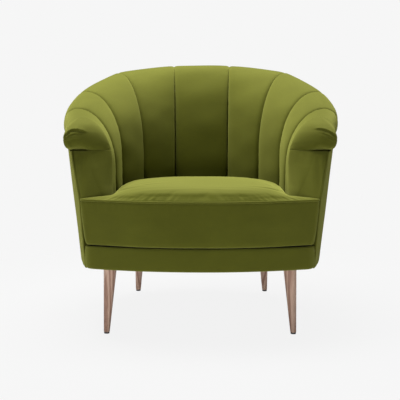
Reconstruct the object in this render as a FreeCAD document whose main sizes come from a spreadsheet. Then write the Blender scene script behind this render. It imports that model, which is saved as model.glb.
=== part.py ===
import FreeCAD, Part
import math
import os

from FreeCAD import Vector

# Barrel armchair with a channelled back, rolled arms and a loose T-shaped seat cushion, on four splayed legs.
# Millimetres. The front faces -Y, +X is the viewer's right, +Z is up.
# The origin is on the floor, under the middle of the outer box.

os.makedirs("parts", exist_ok=True)
doc = FreeCAD.newDocument("armchair")
sheet = doc.addObject("Spreadsheet::Sheet", "sizes")

# Sizes of the legs, bolts and glides
LEG_SIZES = {
    "glide_thickness": 5,
    "glide_radius": 8,
    "leg_foot_radius": 8.75,
    "leg_top_radius": 19.75,
    "front_foot_across": 275,
    "front_foot_forward": 277,
    "front_leg_top_across": 263,
    "front_leg_top_forward": 262,
    "rear_foot_across": 224,
    "rear_foot_back": 239,
    "rear_leg_top_across": 213,
    "rear_leg_top_back": 205,
    "bolt_radius": 4,
    "bolt_hole_clearance": 0.15,
    "bolt_depth_in_leg": 42,
    "bolt_end_below_ring": 4,
    "nut_flange_radius": 10,
    "nut_flange_thickness": 1.5,
    "nut_barrel_radius": 5.5,
    "nut_barrel_length": 10,
    "block_side": 56,
    "rear_block_shift_across": 5,
    "rear_block_shift_forward": 13,
}

# Sizes of the base: hem, dust cover, rails, ring, springs and deck
BASE_SIZES = {
    "base_height": 205,
    "dust_cover_thickness": 1.5,
    "dust_cover_edge_clearance": 0.5,
    "staple_length": 10,
    "staple_width": 1.2,
    "staple_thickness": 0.6,
    "staple_inset": 14,
    "rail_depth": 35,
    "rail_thickness": 22,
    "front_rail_end": 275,
    "back_rail_start": 130,
    "ring_thickness": 15,
    "opening_half_width": 215,
    "opening_front": 285,
    "opening_back": 118,
    "opening_corner": 80,
    "screw_radius": 2.5,
    "screw_length": 38,
    "screw_head_radius": 5,
    "screw_head_depth": 3,
    "front_screw_across": 190,
    "back_screw_across": 95,
    "side_screw_forward": 160,
    "side_screw_back": 55,
    "spring_wire_radius": 1.9,
    "spring_half_width": 19,
    "spring_bar_pitch": 27,
    "spring_spacing": 70,
    "spring_end_overlap": 11,
    "clip_width": 14,
    "clip_wall": 1.2,
    "clip_clearance": 0.1,
    "deck_pad_thickness": 7,
    "deck_cover_thickness": 1.5,
    "deck_edge_inset": 3,
    "border_thickness": 10,
    "border_height": 66,
    "border_bottom_round": 6,
    "border_top_round": 4,
    "seat_clearance": 0.3,
}

# Plan of the body at hem level, drawn as five tangent arcs and a bowed front
PLAN_SIZES = {
    "hem_half_width": 365,
    "hem_widest_forward": 90,
    "hem_back": 303,
    "side_arc_radius": 720,
    "back_arc_radius": 700,
    "rear_corner_radius": 235,
    "front_centre": 381,
    "front_bow_radius": 1095,
    "front_corner_radius": 34,
    "border_end_forward": 317.5,
    "flare_level_height": 560,
    "flare_half_width": 411,
    "flare_widest_forward": 30,
    "flare_back": 345,
    "panel_thickness": 3,
    "panel_seam_back": 200,
    "panel_seam_gap": 0.4,
    "panel_top_gap": 1.5,
    "panel_loft_top": 740,
    "seat_level_height": 400,
    "seat_level_front": 311,
    "mid_arm_share": "=90 / 137",
    "mid_arm_height": "=seat_level_height + (cap_level - seat_level_height) * mid_arm_share",
    "mid_arm_front": 272,
    "arm_top_rise": 10,
    "arm_top_height": "=cap_level + arm_top_rise",
    "arm_top_front": 250,
    "panel_loft_top_front": 215,
}

# Five stations from the arm's front (0) to beside the back's middle (4). Each seam runs from a point of
# the seat plan up and out to a point of the rim, and over the roll to the outside panel.
STATION_SIZES = {
    "rim_inset_0": 59, "rim_inset_1": 24, "rim_inset_2": 26, "rim_inset_3": 125,
    "seat_across_0": 261, "seat_back_0": -190, "rim_across_0": "=flare_half_width - rim_inset_0",
    "rim_back_0": -190,
    "rim_height_0": 632, "flare_rise_0": 132, "tuck_out_0": 30, "tuck_drop_0": 95,
    "cap_level": "=rim_height_0 - tuck_drop_0",
    "seat_across_1": 264, "seat_back_1": -100, "rim_across_1": "=flare_half_width - rim_inset_1",
    "rim_back_1": -20,
    "rim_height_1": 652, "flare_rise_1": 180, "tuck_out_1": 24, "tuck_drop_1": 86,
    "seat_across_2": 255, "seat_back_2": 0, "rim_across_2": "=flare_half_width - rim_inset_2",
    "rim_back_2": 120,
    "rim_height_2": 704, "flare_rise_2": 190, "tuck_out_2": 16, "tuck_drop_2": 86,
    "seat_across_3": 190, "seat_back_3": 112, "rim_across_3": "=flare_half_width - rim_inset_3",
    "rim_back_3": 279,
    "rim_height_3": 766, "flare_rise_3": 255, "tuck_out_3": 18, "tuck_drop_3": 86,
    "seat_across_4": 88, "seat_back_4": 200, "rim_across_4": 98, "rim_back_4": 334.5,
    "rim_height_4": 789, "flare_rise_4": 285, "tuck_out_4": 18, "tuck_drop_4": 86,
}
LAST_STATION = 4

# Bow of the rim in plan between a station and the next; the last is the one across the back's middle
BOW_SIZES = {"rim_bow_0": 5, "rim_bow_1": 6, "rim_bow_2": 8, "rim_bow_3": 12, "rim_bow_4": 3.5}

# Outward direction of the rim's roll at each station, in degrees from +X
ROLL_TURNS = (0, 3, 24, 54, 83)

# Sizes of the padding, the arm fronts and the timber inside the wall
WALL_SIZES = {
    "roll_half_width": 44,
    "roll_half_height": 42,
    "pad_thickness": 30,
    "channel_crown": 9,
    "arm_panel_crown": 4,
    "channel_gap": 0.4,
    "facing_corner_low": 13,
    "facing_corner_mid": 30,
    "facing_corner_top": 45,
    "facing_depth_low": 63,
    "facing_depth_mid": 56,
    "facing_depth_top": 50,
    "facing_bulge": 1.5,
    "facing_panel_gap": 0.5,
    "cap_depth": 82,
    "cap_centre_shift": 18,
    "rim_rail_drop": 34,
    "rim_rail_height": 40,
    "rim_rail_width": 24,
    "post_width": 30,
    "post_depth": 32,
    "post_head_set_in": 15,
    "arm_post_across": 312,
    "side_post_reach": 60,
    "back_post_reach": 75,
    "strap_thickness": 1.5,
}

# Sizes of the seat cushion; its plan is a polygon whose corners are rounded
CUSHION_SIZES = {
    "cushion_front": 384,
    "bow_point_across": 130,
    "bow_point_radius": 700,
    "ear_across": 340,
    "ear_front": 328,
    "ear_front_radius": 13,
    "ear_back": 313,
    "ear_back_radius": 4,
    "notch_across": 256,
    "notch_forward": 242.5,
    "notch_radius": 7,
    "side_turn_across": 253.6,
    "side_turn_forward": 98,
    "side_turn_radius": 200,
    "hip_turn_across": 245,
    "hip_turn_forward": 3,
    "hip_turn_radius": 150,
    "rear_turn_across": 182.2,
    "rear_turn_back": 105.3,
    "rear_turn_radius": 200,
    "tail_turn_across": 84.2,
    "tail_turn_back": 189.8,
    "tail_turn_radius": 130,
    "cushion_centre_forward": 90,
    "cover_thickness": 2.5,
    "boxing_lift": 3,
    "boxing_height": 124.8,
    "piping_radius": 3.2,
    "panel_rim_lift": 7.2,
    "piping_inset": 3,
    "boxing_round": 5,
    "least_corner_radius": 0.5,
    "ear_taper": 13,
    "crown_height": 27,
    "crown_half_width": 105,
    "crown_half_depth": 110,
    "crown_corner_radius": 50,
    "cushion_fill_gap": 0.3,
    "cut_overrun": 5,
}

SIZE_TABLES = (LEG_SIZES, BASE_SIZES, PLAN_SIZES, STATION_SIZES, BOW_SIZES, WALL_SIZES, CUSHION_SIZES)
ALL_SIZES = {alias: number for table in SIZE_TABLES for alias, number in table.items()}
for row, (alias, number) in enumerate(ALL_SIZES.items(), start=1):
    sheet.set(f"A{row}", alias)
    sheet.set(f"B{row}", str(number))
    sheet.setAlias(f"B{row}", alias)
doc.recompute()


def size(alias):
    return float(sheet.get(alias))


# Levels that several pieces share, as numbers and as expressions for bound objects
RAIL_FLOOR = "sizes.base_height + sizes.dust_cover_thickness"
RING_FLOOR = f"{RAIL_FLOOR} + sizes.rail_depth"
RING_TOP = f"{RING_FLOOR} + sizes.ring_thickness"
rail_floor = size("base_height") + size("dust_cover_thickness")
ring_floor = rail_floor + size("rail_depth")
ring_top = ring_floor + size("ring_thickness")
pad_foot = ring_top + size("seat_clearance")
clip_height = 2 * (size("spring_wire_radius") + size("clip_clearance") + size("clip_wall"))
deck_top = pad_foot + clip_height + size("deck_pad_thickness") + size("deck_cover_thickness")
cushion_underside = deck_top + size("seat_clearance")
boxing_bottom = cushion_underside + size("boxing_lift")
boxing_top = boxing_bottom + size("boxing_height")
top_panel_rim = boxing_top + size("panel_rim_lift")

nodes = {}


def register(thing, name):
    thing.Label = name
    nodes[name] = thing
    return thing


def bind(thing, **expressions):
    for path, expression in expressions.items():
        thing.setExpression(path.replace("__", "."), expression)
    return thing


def place(thing, across, back, up):
    return bind(
        thing,
        Placement__Base__x=across,
        Placement__Base__y=back,
        Placement__Base__z=up,
    )


def primitive(kind, name, **expressions):
    return bind(doc.addObject(f"Part::{kind}", name), **expressions)


def cut(name, base, tool):
    result = doc.addObject("Part::Cut", name)
    result.Base = base
    result.Tool = tool
    return result


def common(name, base, tool):
    result = doc.addObject("Part::Common", name)
    result.Base = base
    result.Tool = tool
    return result


def group(name, members):
    result = doc.addObject("Part::Compound", name)
    result.Links = members
    return result


def shaped(name, shape):
    feature = doc.addObject("Part::Feature", name)
    feature.Shape = shape
    return register(feature, name)


SIDES = (("left", -1), ("right", 1))


# Legs, glides, hanger bolts, tee nuts and corner blocks
def leg_set():
    corners = {
        "front": (
            "front_foot_across",
            "-sizes.front_foot_forward",
            "front_leg_top_across",
            "-sizes.front_leg_top_forward",
        ),
        "rear": (
            "rear_foot_across",
            "sizes.rear_foot_back",
            "rear_leg_top_across",
            "sizes.rear_leg_top_back",
        ),
    }
    glides, bolts, nuts, blocks, block_holes, cover_holes = [], [], [], [], [], []
    for end, (foot_across, foot_back, top_across, top_back) in corners.items():
        for side, sign in SIDES:
            tag = f"{end}_{side}"
            across = f"{sign} * sizes.{top_across}"
            foot_x = f"{sign} * sizes.{foot_across}"
            foot = primitive("Circle", f"foot_ring_{tag}", Radius="sizes.leg_foot_radius")
            place(foot, foot_x, foot_back, "sizes.glide_thickness")
            top = primitive("Circle", f"top_ring_{tag}", Radius="sizes.leg_top_radius")
            place(top, across, top_back, "sizes.base_height")
            taper = doc.addObject("Part::Loft", f"taper_{tag}")
            taper.Sections = [foot, top]
            taper.Solid = True
            taper.Ruled = True
            bore = primitive(
                "Cylinder",
                f"leg_bore_{tag}",
                Radius="sizes.bolt_radius + sizes.bolt_hole_clearance",
                Height="sizes.bolt_depth_in_leg + sizes.cut_overrun",
            )
            place(bore, across, top_back, "sizes.base_height - sizes.bolt_depth_in_leg")
            register(cut(f"leg_{tag}_solid", taper, bore), f"leg_{tag}")

            glide = primitive(
                "Cylinder",
                f"glide_{tag}",
                Radius="sizes.glide_radius",
                Height="sizes.glide_thickness",
            )
            place(glide, foot_x, foot_back, "0")
            glides.append(glide)

            bolt = primitive(
                "Cylinder",
                f"bolt_{tag}",
                Radius="sizes.bolt_radius",
                Height=f"{RING_FLOOR} + sizes.bolt_depth_in_leg - sizes.bolt_end_below_ring"
                " - sizes.base_height",
            )
            place(bolt, across, top_back, "sizes.base_height - sizes.bolt_depth_in_leg")
            bolts.append(bolt)

            nut_floor = f"{RING_FLOOR} - sizes.nut_barrel_length"
            flange = primitive(
                "Cylinder",
                f"nut_flange_{tag}",
                Radius="sizes.nut_flange_radius",
                Height="sizes.nut_flange_thickness",
            )
            place(flange, across, top_back, f"{RING_FLOOR} - sizes.nut_flange_thickness")
            barrel = primitive(
                "Cylinder",
                f"nut_barrel_{tag}",
                Radius="sizes.nut_barrel_radius",
                Height="sizes.nut_barrel_length",
            )
            place(barrel, across, top_back, nut_floor)
            body = doc.addObject("Part::MultiFuse", f"nut_body_{tag}")
            body.Shapes = [flange, barrel]
            thread = primitive(
                "Cylinder",
                f"nut_thread_{tag}",
                Radius="sizes.bolt_radius + sizes.bolt_hole_clearance",
                Height="sizes.nut_barrel_length + 2 * sizes.cut_overrun",
            )
            place(thread, across, top_back, f"{nut_floor} - sizes.cut_overrun")
            nuts.append(cut(f"nut_{tag}", body, thread))

            shift = "0" if end == "front" else f"{-sign} * sizes.rear_block_shift_across"
            pull = "0" if end == "front" else "sizes.rear_block_shift_forward"
            block = primitive(
                "Box",
                f"block_blank_{tag}",
                Length="sizes.block_side",
                Width="sizes.block_side",
                Height="sizes.rail_depth",
            )
            place(
                block,
                f"{across} + {shift} - sizes.block_side / 2",
                f"{top_back} - {pull} - sizes.block_side / 2",
                RAIL_FLOOR,
            )
            pocket = primitive(
                "Cylinder",
                f"nut_pocket_{tag}",
                Radius="sizes.nut_flange_radius + sizes.bolt_hole_clearance",
                Height="sizes.nut_flange_thickness + sizes.cut_overrun",
            )
            place(pocket, across, top_back, f"{RING_FLOOR} - sizes.nut_flange_thickness")
            socket = primitive(
                "Cylinder",
                f"nut_socket_{tag}",
                Radius="sizes.nut_barrel_radius + sizes.bolt_hole_clearance",
                Height="sizes.nut_barrel_length + sizes.cut_overrun",
            )
            place(socket, across, top_back, nut_floor)
            hole = primitive(
                "Cylinder",
                f"block_hole_{tag}",
                Radius="sizes.bolt_radius + sizes.bolt_hole_clearance",
                Height="sizes.rail_depth + 2 * sizes.cut_overrun",
            )
            place(hole, across, top_back, f"{RAIL_FLOOR} - sizes.cut_overrun")
            cover_holes.append(hole)
            tools = doc.addObject("Part::MultiFuse", f"block_tools_{tag}")
            tools.Shapes = [pocket, socket, hole]
            blocks.append(cut(f"block_{tag}", block, tools))
    register(group("glide_group", glides), "leg_glides")
    register(group("bolt_group", bolts), "leg_bolts")
    register(group("nut_group", nuts), "leg_tee_nuts")
    register(group("block_group", blocks), "corner_blocks")
    return group("cover_hole_group", cover_holes)


# Plan arcs. Each arc is a (start, middle, end) triple of points at height zero.
def on_circle(centre, radius, point):
    away = point - centre
    return centre + away * (radius / away.Length)


def join_centre(first, first_radius, second, second_radius, radius, turn):
    """Centre of the corner arc that touches two larger arcs from inside; turn picks the side."""
    reach_one = first_radius - radius
    reach_two = second_radius - radius
    line = second - first
    gap = line.Length
    along = (reach_one ** 2 - reach_two ** 2 + gap ** 2) / (2 * gap)
    rise = math.sqrt(reach_one ** 2 - along ** 2)
    unit = line / gap
    return first + unit * along + Vector(-unit.y, unit.x, 0) * (turn * rise)


def body_plan(height, inset):
    """Arc data of the body's plan at a height: side, rear corner and back arcs, all moved in by inset."""
    rise = (height - size("base_height")) / (size("flare_level_height") - size("base_height"))
    half_width = size("hem_half_width") + rise * (size("flare_half_width") - size("hem_half_width"))
    widest = -size("hem_widest_forward") - rise * (size("flare_widest_forward") - size("hem_widest_forward"))
    back = size("hem_back") + rise * (size("flare_back") - size("hem_back"))
    side_centre = Vector(half_width - size("side_arc_radius"), widest, 0)
    back_centre = Vector(0, back - size("back_arc_radius"), 0)
    corner_centre = join_centre(
        side_centre,
        size("side_arc_radius"),
        back_centre,
        size("back_arc_radius"),
        size("rear_corner_radius"),
        1,
    )
    return {
        "side": (side_centre, size("side_arc_radius") - inset),
        "corner": (corner_centre, size("rear_corner_radius") - inset),
        "back": (back_centre, size("back_arc_radius") - inset),
    }


def side_across(height, back, inset):
    centre, radius = body_plan(height, inset)["side"]
    return centre.x + math.sqrt(radius ** 2 - (back - centre.y) ** 2)


def arc_between(centre, radius, start, end):
    middle = on_circle(centre, radius, (start + end) / 2)
    return (start, middle, end)


def flipped(arc):
    return tuple(Vector(-point.x, point.y, point.z) for point in reversed(arc))


def right_arcs(height, inset, start):
    """Arcs from a start point on the right side round to the middle of the back."""
    plan = body_plan(height, inset)
    side_end = on_circle(*plan["side"], plan["corner"][0])
    corner_end = on_circle(*plan["back"], plan["corner"][0])
    back_middle = plan["back"][0] + Vector(0, plan["back"][1], 0)
    return [
        arc_between(*plan["side"], start, side_end),
        arc_between(*plan["corner"], side_end, corner_end),
        arc_between(*plan["back"], corner_end, back_middle),
    ]


def arc_edges(arcs, height):
    lift = Vector(0, 0, height)
    return [Part.Arc(*[point + lift for point in arc]).toShape() for arc in arcs]


def closed_plan(inset):
    """Whole plan at hem level: bowed front, front corners, sides, rear corners and back."""
    side_centre, side_radius = body_plan(size("base_height"), inset)["side"]
    bow_centre = Vector(0, size("front_bow_radius") - size("front_centre"), 0)
    bow_radius = size("front_bow_radius") - inset
    corner_radius = size("front_corner_radius") - inset
    corner = join_centre(
        bow_centre,
        size("front_bow_radius"),
        side_centre,
        size("side_arc_radius"),
        size("front_corner_radius"),
        1,
    )
    bow_end = on_circle(bow_centre, bow_radius, corner)
    side_start = on_circle(side_centre, side_radius, corner)
    front_middle = Vector(0, bow_centre.y - bow_radius, 0)
    right = [arc_between(bow_centre, bow_radius, front_middle, bow_end)]
    right.append(arc_between(corner, corner_radius, bow_end, side_start))
    right += right_arcs(size("base_height"), inset, side_start)
    return right + [flipped(arc) for arc in reversed(right)]


def rounded(corners):
    """Closed plan through corners (x, y, radius): straight lines joined by tangent arcs."""
    points = [Vector(x, y, 0) for x, y, radius in corners]
    pieces = []
    count = len(points)
    for index, (x, y, radius) in enumerate(corners):
        to_last = (points[index - 1] - points[index]).normalize()
        to_next = (points[(index + 1) % count] - points[index]).normalize()
        half = to_last.getAngle(to_next) / 2
        run = radius / math.tan(half)
        bisector = (to_last + to_next).normalize()
        start = points[index] + to_last * run
        end = points[index] + to_next * run
        middle = points[index] + bisector * (radius / math.sin(half) - radius)
        pieces.append((start, middle, end))
    edges = []
    for index, piece in enumerate(pieces):
        following = pieces[(index + 1) % count]
        edges.append(Part.Arc(*piece).toShape())
        edges.append(Part.LineSegment(piece[2], following[0]).toShape())
    return edges


# A plate is a body with one sketch and one pad, lifted to its level
def plate(name, loops, thickness, level):
    body = doc.addObject("PartDesign::Body", f"{name}_body")
    sketch = body.newObject("Sketcher::SketchObject", f"{name}_sketch")
    plane = next(f for f in body.Origin.OriginFeatures if f.Role == "XY_Plane")
    sketch.AttachmentSupport = [(plane, "")]
    sketch.MapMode = "FlatFace"
    for loop in loops:
        for edge in loop:
            sketch.addGeometry(edge.Curve.trim(*edge.ParameterRange), False)
    pad = body.newObject("PartDesign::Pad", f"{name}_pad")
    pad.Profile = sketch
    pad.setExpression("Length", thickness)
    body.Tip = pad
    bind(body, Placement__Base__z=level)
    return body


def slab(name, low, high):
    """Box between two corners, each given as three expressions."""
    box = primitive(
        "Box",
        name,
        Length=f"({high[0]}) - ({low[0]})",
        Width=f"({high[1]}) - ({low[1]})",
        Height=f"({high[2]}) - ({low[2]})",
    )
    return place(box, *low)


def opening_corners():
    half = size("opening_half_width")
    radius = size("opening_corner")
    return [
        (half, -size("opening_front"), radius),
        (half, size("opening_back"), radius),
        (-half, size("opening_back"), radius),
        (-half, -size("opening_front"), radius),
    ]


# Base rails, seat ring, screws and the dust cover with its staples
def base_frame(bolt_holes):
    rail_inset = size("panel_thickness") + size("seat_clearance")
    front_inset = size("border_thickness") + size("seat_clearance")
    thickness = size("rail_thickness")
    frame_loops = [arc_edges(closed_plan(rail_inset), 0), arc_edges(closed_plan(rail_inset + thickness), 0)]
    front_loops = [arc_edges(closed_plan(front_inset), 0), arc_edges(closed_plan(front_inset + thickness), 0)]
    tall = "sizes.rail_depth"
    low, high = f"{RAIL_FLOOR} - sizes.cut_overrun", f"{RING_FLOOR} + sizes.cut_overrun"
    reach = "sizes.hem_half_width + sizes.cut_overrun"
    front_reach = "sizes.front_centre + sizes.cut_overrun"
    back_reach = "sizes.hem_back + sizes.cut_overrun"
    front_end = "-sizes.front_rail_end"
    side_start = "-sizes.front_rail_end + sizes.seat_clearance"
    back_start = "sizes.back_rail_start"
    side_end = f"{back_start} - sizes.seat_clearance"
    limits = {
        "base_rail_front": (front_loops, (f"-({reach})", f"-({front_reach})", low), (reach, front_end, high)),
        "base_rail_left": (frame_loops, (f"-({reach})", side_start, low), ("0", side_end, high)),
        "base_rail_right": (frame_loops, ("0", side_start, low), (reach, side_end, high)),
        "base_rail_back": (frame_loops, (f"-({reach})", back_start, low), (reach, back_reach, high)),
    }

    screw_places = []
    for sign in (-1, 1):
        front_y = plan_front(size("front_screw_across"), front_inset + thickness / 2)
        back_y = plan_back(size("back_screw_across"), rail_inset + thickness / 2)
        screw_places.append((sign * size("front_screw_across"), front_y))
        screw_places.append((sign * size("back_screw_across"), back_y))
        for back in (-size("side_screw_forward"), size("side_screw_back")):
            across = side_across(size("base_height"), back, rail_inset + thickness / 2)
            screw_places.append((sign * across, back))
    holes = []
    screws = []
    for x, y in screw_places:
        foot = Vector(x, y, ring_top - size("screw_length"))
        neck = Vector(x, y, ring_top - size("screw_head_depth"))
        gap = size("bolt_hole_clearance")
        shank_length = size("screw_length") - size("screw_head_depth")
        shank = Part.makeCylinder(size("screw_radius"), shank_length, foot)
        head = Part.makeCone(size("screw_radius"), size("screw_head_radius"), size("screw_head_depth"), neck)
        screws.append(shank.fuse(head).removeSplitter())
        wide = Part.makeCylinder(size("screw_radius") + gap, shank_length + gap, foot - Vector(0, 0, gap))
        sink = Part.makeCone(
            size("screw_radius") + gap, size("screw_head_radius") + gap, size("screw_head_depth"), neck
        )
        holes.append(wide.fuse(sink))
    shaped("ring_screws", Part.makeCompound(screws))
    hole_tool = doc.addObject("Part::Feature", "screw_hole_tool")
    hole_tool.Shape = holes[0].multiFuse(holes[1:])

    for name, (loops, low_corner, high_corner) in limits.items():
        blank = plate(f"{name}_blank", loops, tall, RAIL_FLOOR)
        piece = common(f"{name}_piece", blank, slab(f"{name}_limit", low_corner, high_corner))
        register(cut(f"{name}_drilled", piece, hole_tool), name)

    ring = plate(
        "seat_ring_blank",
        [arc_edges(closed_plan(front_inset), 0), rounded(opening_corners())],
        "sizes.ring_thickness",
        RING_FLOOR,
    )
    register(cut("seat_ring_drilled", ring, hole_tool), "seat_ring")

    cover_inset = size("panel_thickness") + size("dust_cover_edge_clearance") + size("border_thickness")
    cover = plate(
        "dust_cover_blank",
        [arc_edges(closed_plan(cover_inset), 0)],
        "sizes.dust_cover_thickness",
        "sizes.base_height",
    )
    register(cut("dust_cover_drilled", cover, bolt_holes), "dust_cover")

    staples = []
    for arc in closed_plan(cover_inset + size("staple_inset")):
        for point, other in ((arc[0], arc[1]), (arc[1], arc[2])):
            if (other - point).Length < size("staple_length") * 2:
                continue
            turn = math.degrees(math.atan2(other.y - point.y, other.x - point.x))
            bar = Part.makeBox(size("staple_length"), size("staple_width"), size("staple_thickness"))
            middle = Vector(size("staple_length") / 2, size("staple_width") / 2, 0)
            bar.translate(Vector(0, 0, 0) - middle)
            bar.rotate(Vector(0, 0, 0), Vector(0, 0, 1), turn)
            bar.translate((point + other) / 2 + Vector(0, 0, size("base_height") - size("staple_thickness")))
            staples.append(bar)
    shaped("dust_cover_staples", Part.makeCompound(staples))


def plan_front(across, inset):
    radius = size("front_bow_radius")
    return radius - size("front_centre") - math.sqrt((radius - inset) ** 2 - across ** 2)


def plan_back(across, inset):
    centre, radius = body_plan(size("base_height"), inset)["back"]
    return centre.y + math.sqrt(radius ** 2 - across ** 2)


# Sinuous springs with clips, the deck pad and the deck cover
SPRING_SHARES = (-2, -1, 0, 1, 2)


def seat_suspension():
    wire_radius = size("spring_wire_radius")
    level = ring_top + size("clip_wall") + size("clip_clearance") + wire_radius
    front = -size("opening_front") - size("spring_end_overlap")
    back = size("opening_back") + size("spring_end_overlap")
    gaps = max(2, round((back - front) / size("spring_bar_pitch")))
    pitch = (back - front) / gaps
    bend = pitch / 2
    reach = size("spring_half_width") - bend
    springs, clips = [], []
    for share in SPRING_SHARES:
        x = share * size("spring_spacing")
        edges = []
        for bar in range(gaps + 1):
            y = front + bar * pitch
            way = 1 if bar % 2 == 0 else -1
            start = Vector(x - way * reach, y, level)
            end = Vector(x + way * reach, y, level)
            edges.append(Part.LineSegment(start, end).toShape())
            if bar < gaps:
                middle = Vector(end.x + way * bend, y + bend, level)
                edges.append(Part.Arc(end, middle, Vector(end.x, y + pitch, level)).toShape())
        path = Part.Wire(edges)
        start = edges[0].Vertexes[0].Point
        profile = Part.Wire([Part.Circle(start, Vector(1, 0, 0), wire_radius).toShape()])
        springs.append(path.makePipeShell([profile], True, False))
        for y in (front, back):
            half = wire_radius + size("clip_clearance") + size("clip_wall")
            inner = wire_radius + size("clip_clearance")
            width = size("clip_width")
            overrun = size("cut_overrun")
            block = Part.makeBox(width, 2 * half, 2 * half, Vector(x - width / 2, y - half, ring_top))
            tunnel = Part.makeBox(
                width + 2 * overrun,
                2 * inner,
                2 * inner,
                Vector(x - width / 2 - overrun, y - inner, ring_top + size("clip_wall")),
            )
            clips.append(block.cut(tunnel))
    shaped("seat_springs", Part.makeCompound(springs))
    shaped("spring_clips", Part.makeCompound(clips))


def deck_plan():
    return rounded(cushion_corners(size("deck_edge_inset"), size("ear_taper")))


def seat_deck():
    clip_top = f"{RING_TOP} + 2 * (sizes.spring_wire_radius + sizes.clip_clearance + sizes.clip_wall)"
    pad_floor = f"{clip_top} + sizes.seat_clearance"
    cover_floor = f"{pad_floor} + sizes.deck_pad_thickness"
    front_inset = size("border_thickness") + size("seat_clearance")
    for name, thickness, floor in (
        ("deck_pad", "sizes.deck_pad_thickness", pad_floor),
        ("deck_cover", "sizes.deck_cover_thickness", cover_floor),
    ):
        blank = plate(f"{name}_blank", [deck_plan()], thickness, floor)
        limit = plate(f"{name}_limit", [arc_edges(closed_plan(front_inset), 0)], thickness, floor)
        register(common(f"{name}_piece", blank, limit), name)


# Front border: the padded apron under the cushion, rounded along its foot and its top
def front_border():
    height = size("base_height")
    tall = size("border_height")
    end = size("border_end_forward")
    outer = Part.Face(Part.Wire(arc_edges(closed_plan(0), height))).extrude(Vector(0, 0, tall))
    foot_edges, top_edges = [], []
    for edge in outer.Edges:
        box = edge.BoundBox
        if box.ZLength > size("cut_overrun"):
            continue
        (foot_edges if box.ZMin < height + tall / 2 else top_edges).append(edge)
    outer = outer.makeFillet(size("border_bottom_round"), foot_edges)
    inner_inset = size("border_thickness")
    overrun = size("cut_overrun")
    core_plan = arc_edges(closed_plan(inner_inset), height - overrun)
    core = Part.Face(Part.Wire(core_plan)).extrude(Vector(0, 0, tall + 2 * overrun))
    reach = size("hem_half_width") + overrun
    front = size("front_centre") + overrun
    keep = Part.makeBox(2 * reach, front - end, tall + 2 * overrun, Vector(-reach, -front, height - overrun))
    shaped("front_border", outer.cut(core).common(keep))


# Outside panels: a thin shell on the body's plan, cut below the roll and parted behind the arms
def shell_section(height, front, outer_inset, inner_inset):
    def chain(inset):
        start = Vector(side_across(height, -front, inset), -front, 0)
        right = right_arcs(height, inset, start)
        return right, [flipped(arc) for arc in reversed(right)]

    outer_right, outer_left = chain(outer_inset)
    inner_right, inner_left = chain(inner_inset)
    inner_way = [arc[::-1] for arc in reversed(inner_right + inner_left)]
    lift = Vector(0, 0, height)
    edges = arc_edges(outer_right + outer_left, height)
    edges.append(Part.LineSegment(outer_left[-1][2] + lift, inner_way[0][0] + lift).toShape())
    edges += arc_edges(inner_way, height)
    edges.append(Part.LineSegment(inner_way[-1][2] + lift, outer_right[0][0] + lift).toShape())
    return Part.Wire(edges)


def panel_top(station):
    return size(f"rim_height_{station}") - size(f"tuck_drop_{station}") - size("panel_top_gap")


def tuck_plan(station):
    """Plan point at which the roll ends against the outside panel."""
    rim = Vector(size(f"rim_across_{station}"), size(f"rim_back_{station}"), 0)
    return rim + direction(ROLL_TURNS[station]) * size(f"tuck_out_{station}")


def outside_panels():
    levels = (
        (size("base_height"), size("border_end_forward") - size("panel_seam_gap")),
        (size("seat_level_height"), size("seat_level_front")),
        (size("mid_arm_height"), size("mid_arm_front")),
        (size("arm_top_height"), size("arm_top_front")),
        (size("panel_loft_top"), size("panel_loft_top_front")),
    )
    sections = [shell_section(height, front, 0, size("panel_thickness")) for height, front in levels]
    shell = Part.makeLoft(sections, True, True)
    overrun = size("cut_overrun")
    reach = size("flare_half_width") + size("roll_half_width")
    floor = size("base_height") - overrun
    side_line = [Vector(-reach, -reach, floor), Vector(-reach, -reach, panel_top(0))]
    for station in range(LAST_STATION + 1):
        here = tuck_plan(station)
        side_line.append(Vector(-reach, here.y, panel_top(station)))
        if station < LAST_STATION:
            there = tuck_plan(station + 1)
            chord = there - here
            bow = size(f"rim_bow_{station}") / chord.Length
            bowed = (here + there) / 2 + Vector(chord.y, -chord.x, 0) * bow
            level = (panel_top(station) + panel_top(station + 1)) / 2
            side_line.append(Vector(-reach, bowed.y, level))
    side_line.append(Vector(-reach, reach, panel_top(LAST_STATION)))
    side_line.append(Vector(-reach, reach, floor))
    side_line.append(side_line[0])
    below_roll = Part.Face(Part.makePolygon(side_line)).extrude(Vector(2 * reach, 0, 0))
    shell = shell.common(below_roll)
    seam = size("panel_seam_back")
    gap = size("panel_seam_gap")
    tall = size("panel_loft_top")
    back_box = Part.makeBox(2 * reach, reach, tall, Vector(-reach, seam + gap / 2, floor))
    arm_box = Part.makeBox(reach, reach + seam - gap / 2, tall, Vector(0, -reach, floor))
    shaped("outside_back", shell.common(back_box))
    right = shell.common(arm_box)
    shaped("outside_arm_right", right)
    shaped("outside_arm_left", right.mirror(Vector(0, 0, 0), Vector(1, 0, 0)))


# Wall profile at a station: points from the seat ring up the wall, out over the flare and round the roll,
# each with the direction in which the padding has its thickness
FLARE_TURNS = (0, 15, 30, 45, 60, 75, 90)
ROLL_STEPS = (30, 60, 90, 120)
CREST_ROW = len(FLARE_TURNS) + 1
THICKNESS_SHARES = (1, 1, 1, 1, 0.98, 0.96, 0.93, 0.89, 0.85, 0.8, 0.7, 0.58, 0.42, 0.27)
CROWN_SHARES = (1, 1, 1, 1, 0.97, 0.9, 0.78, 0.62, 0.42, 0.36, 0.3, 0.25, 0.17, 0.1)
BOW_SHARES = (0, 0, 0, 0.03, 0.13, 0.29, 0.5, 0.74, 1, 1, 1, 1, 1, 1)


def direction(degrees):
    return Vector(math.cos(math.radians(degrees)), math.sin(math.radians(degrees)), 0)


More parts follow.
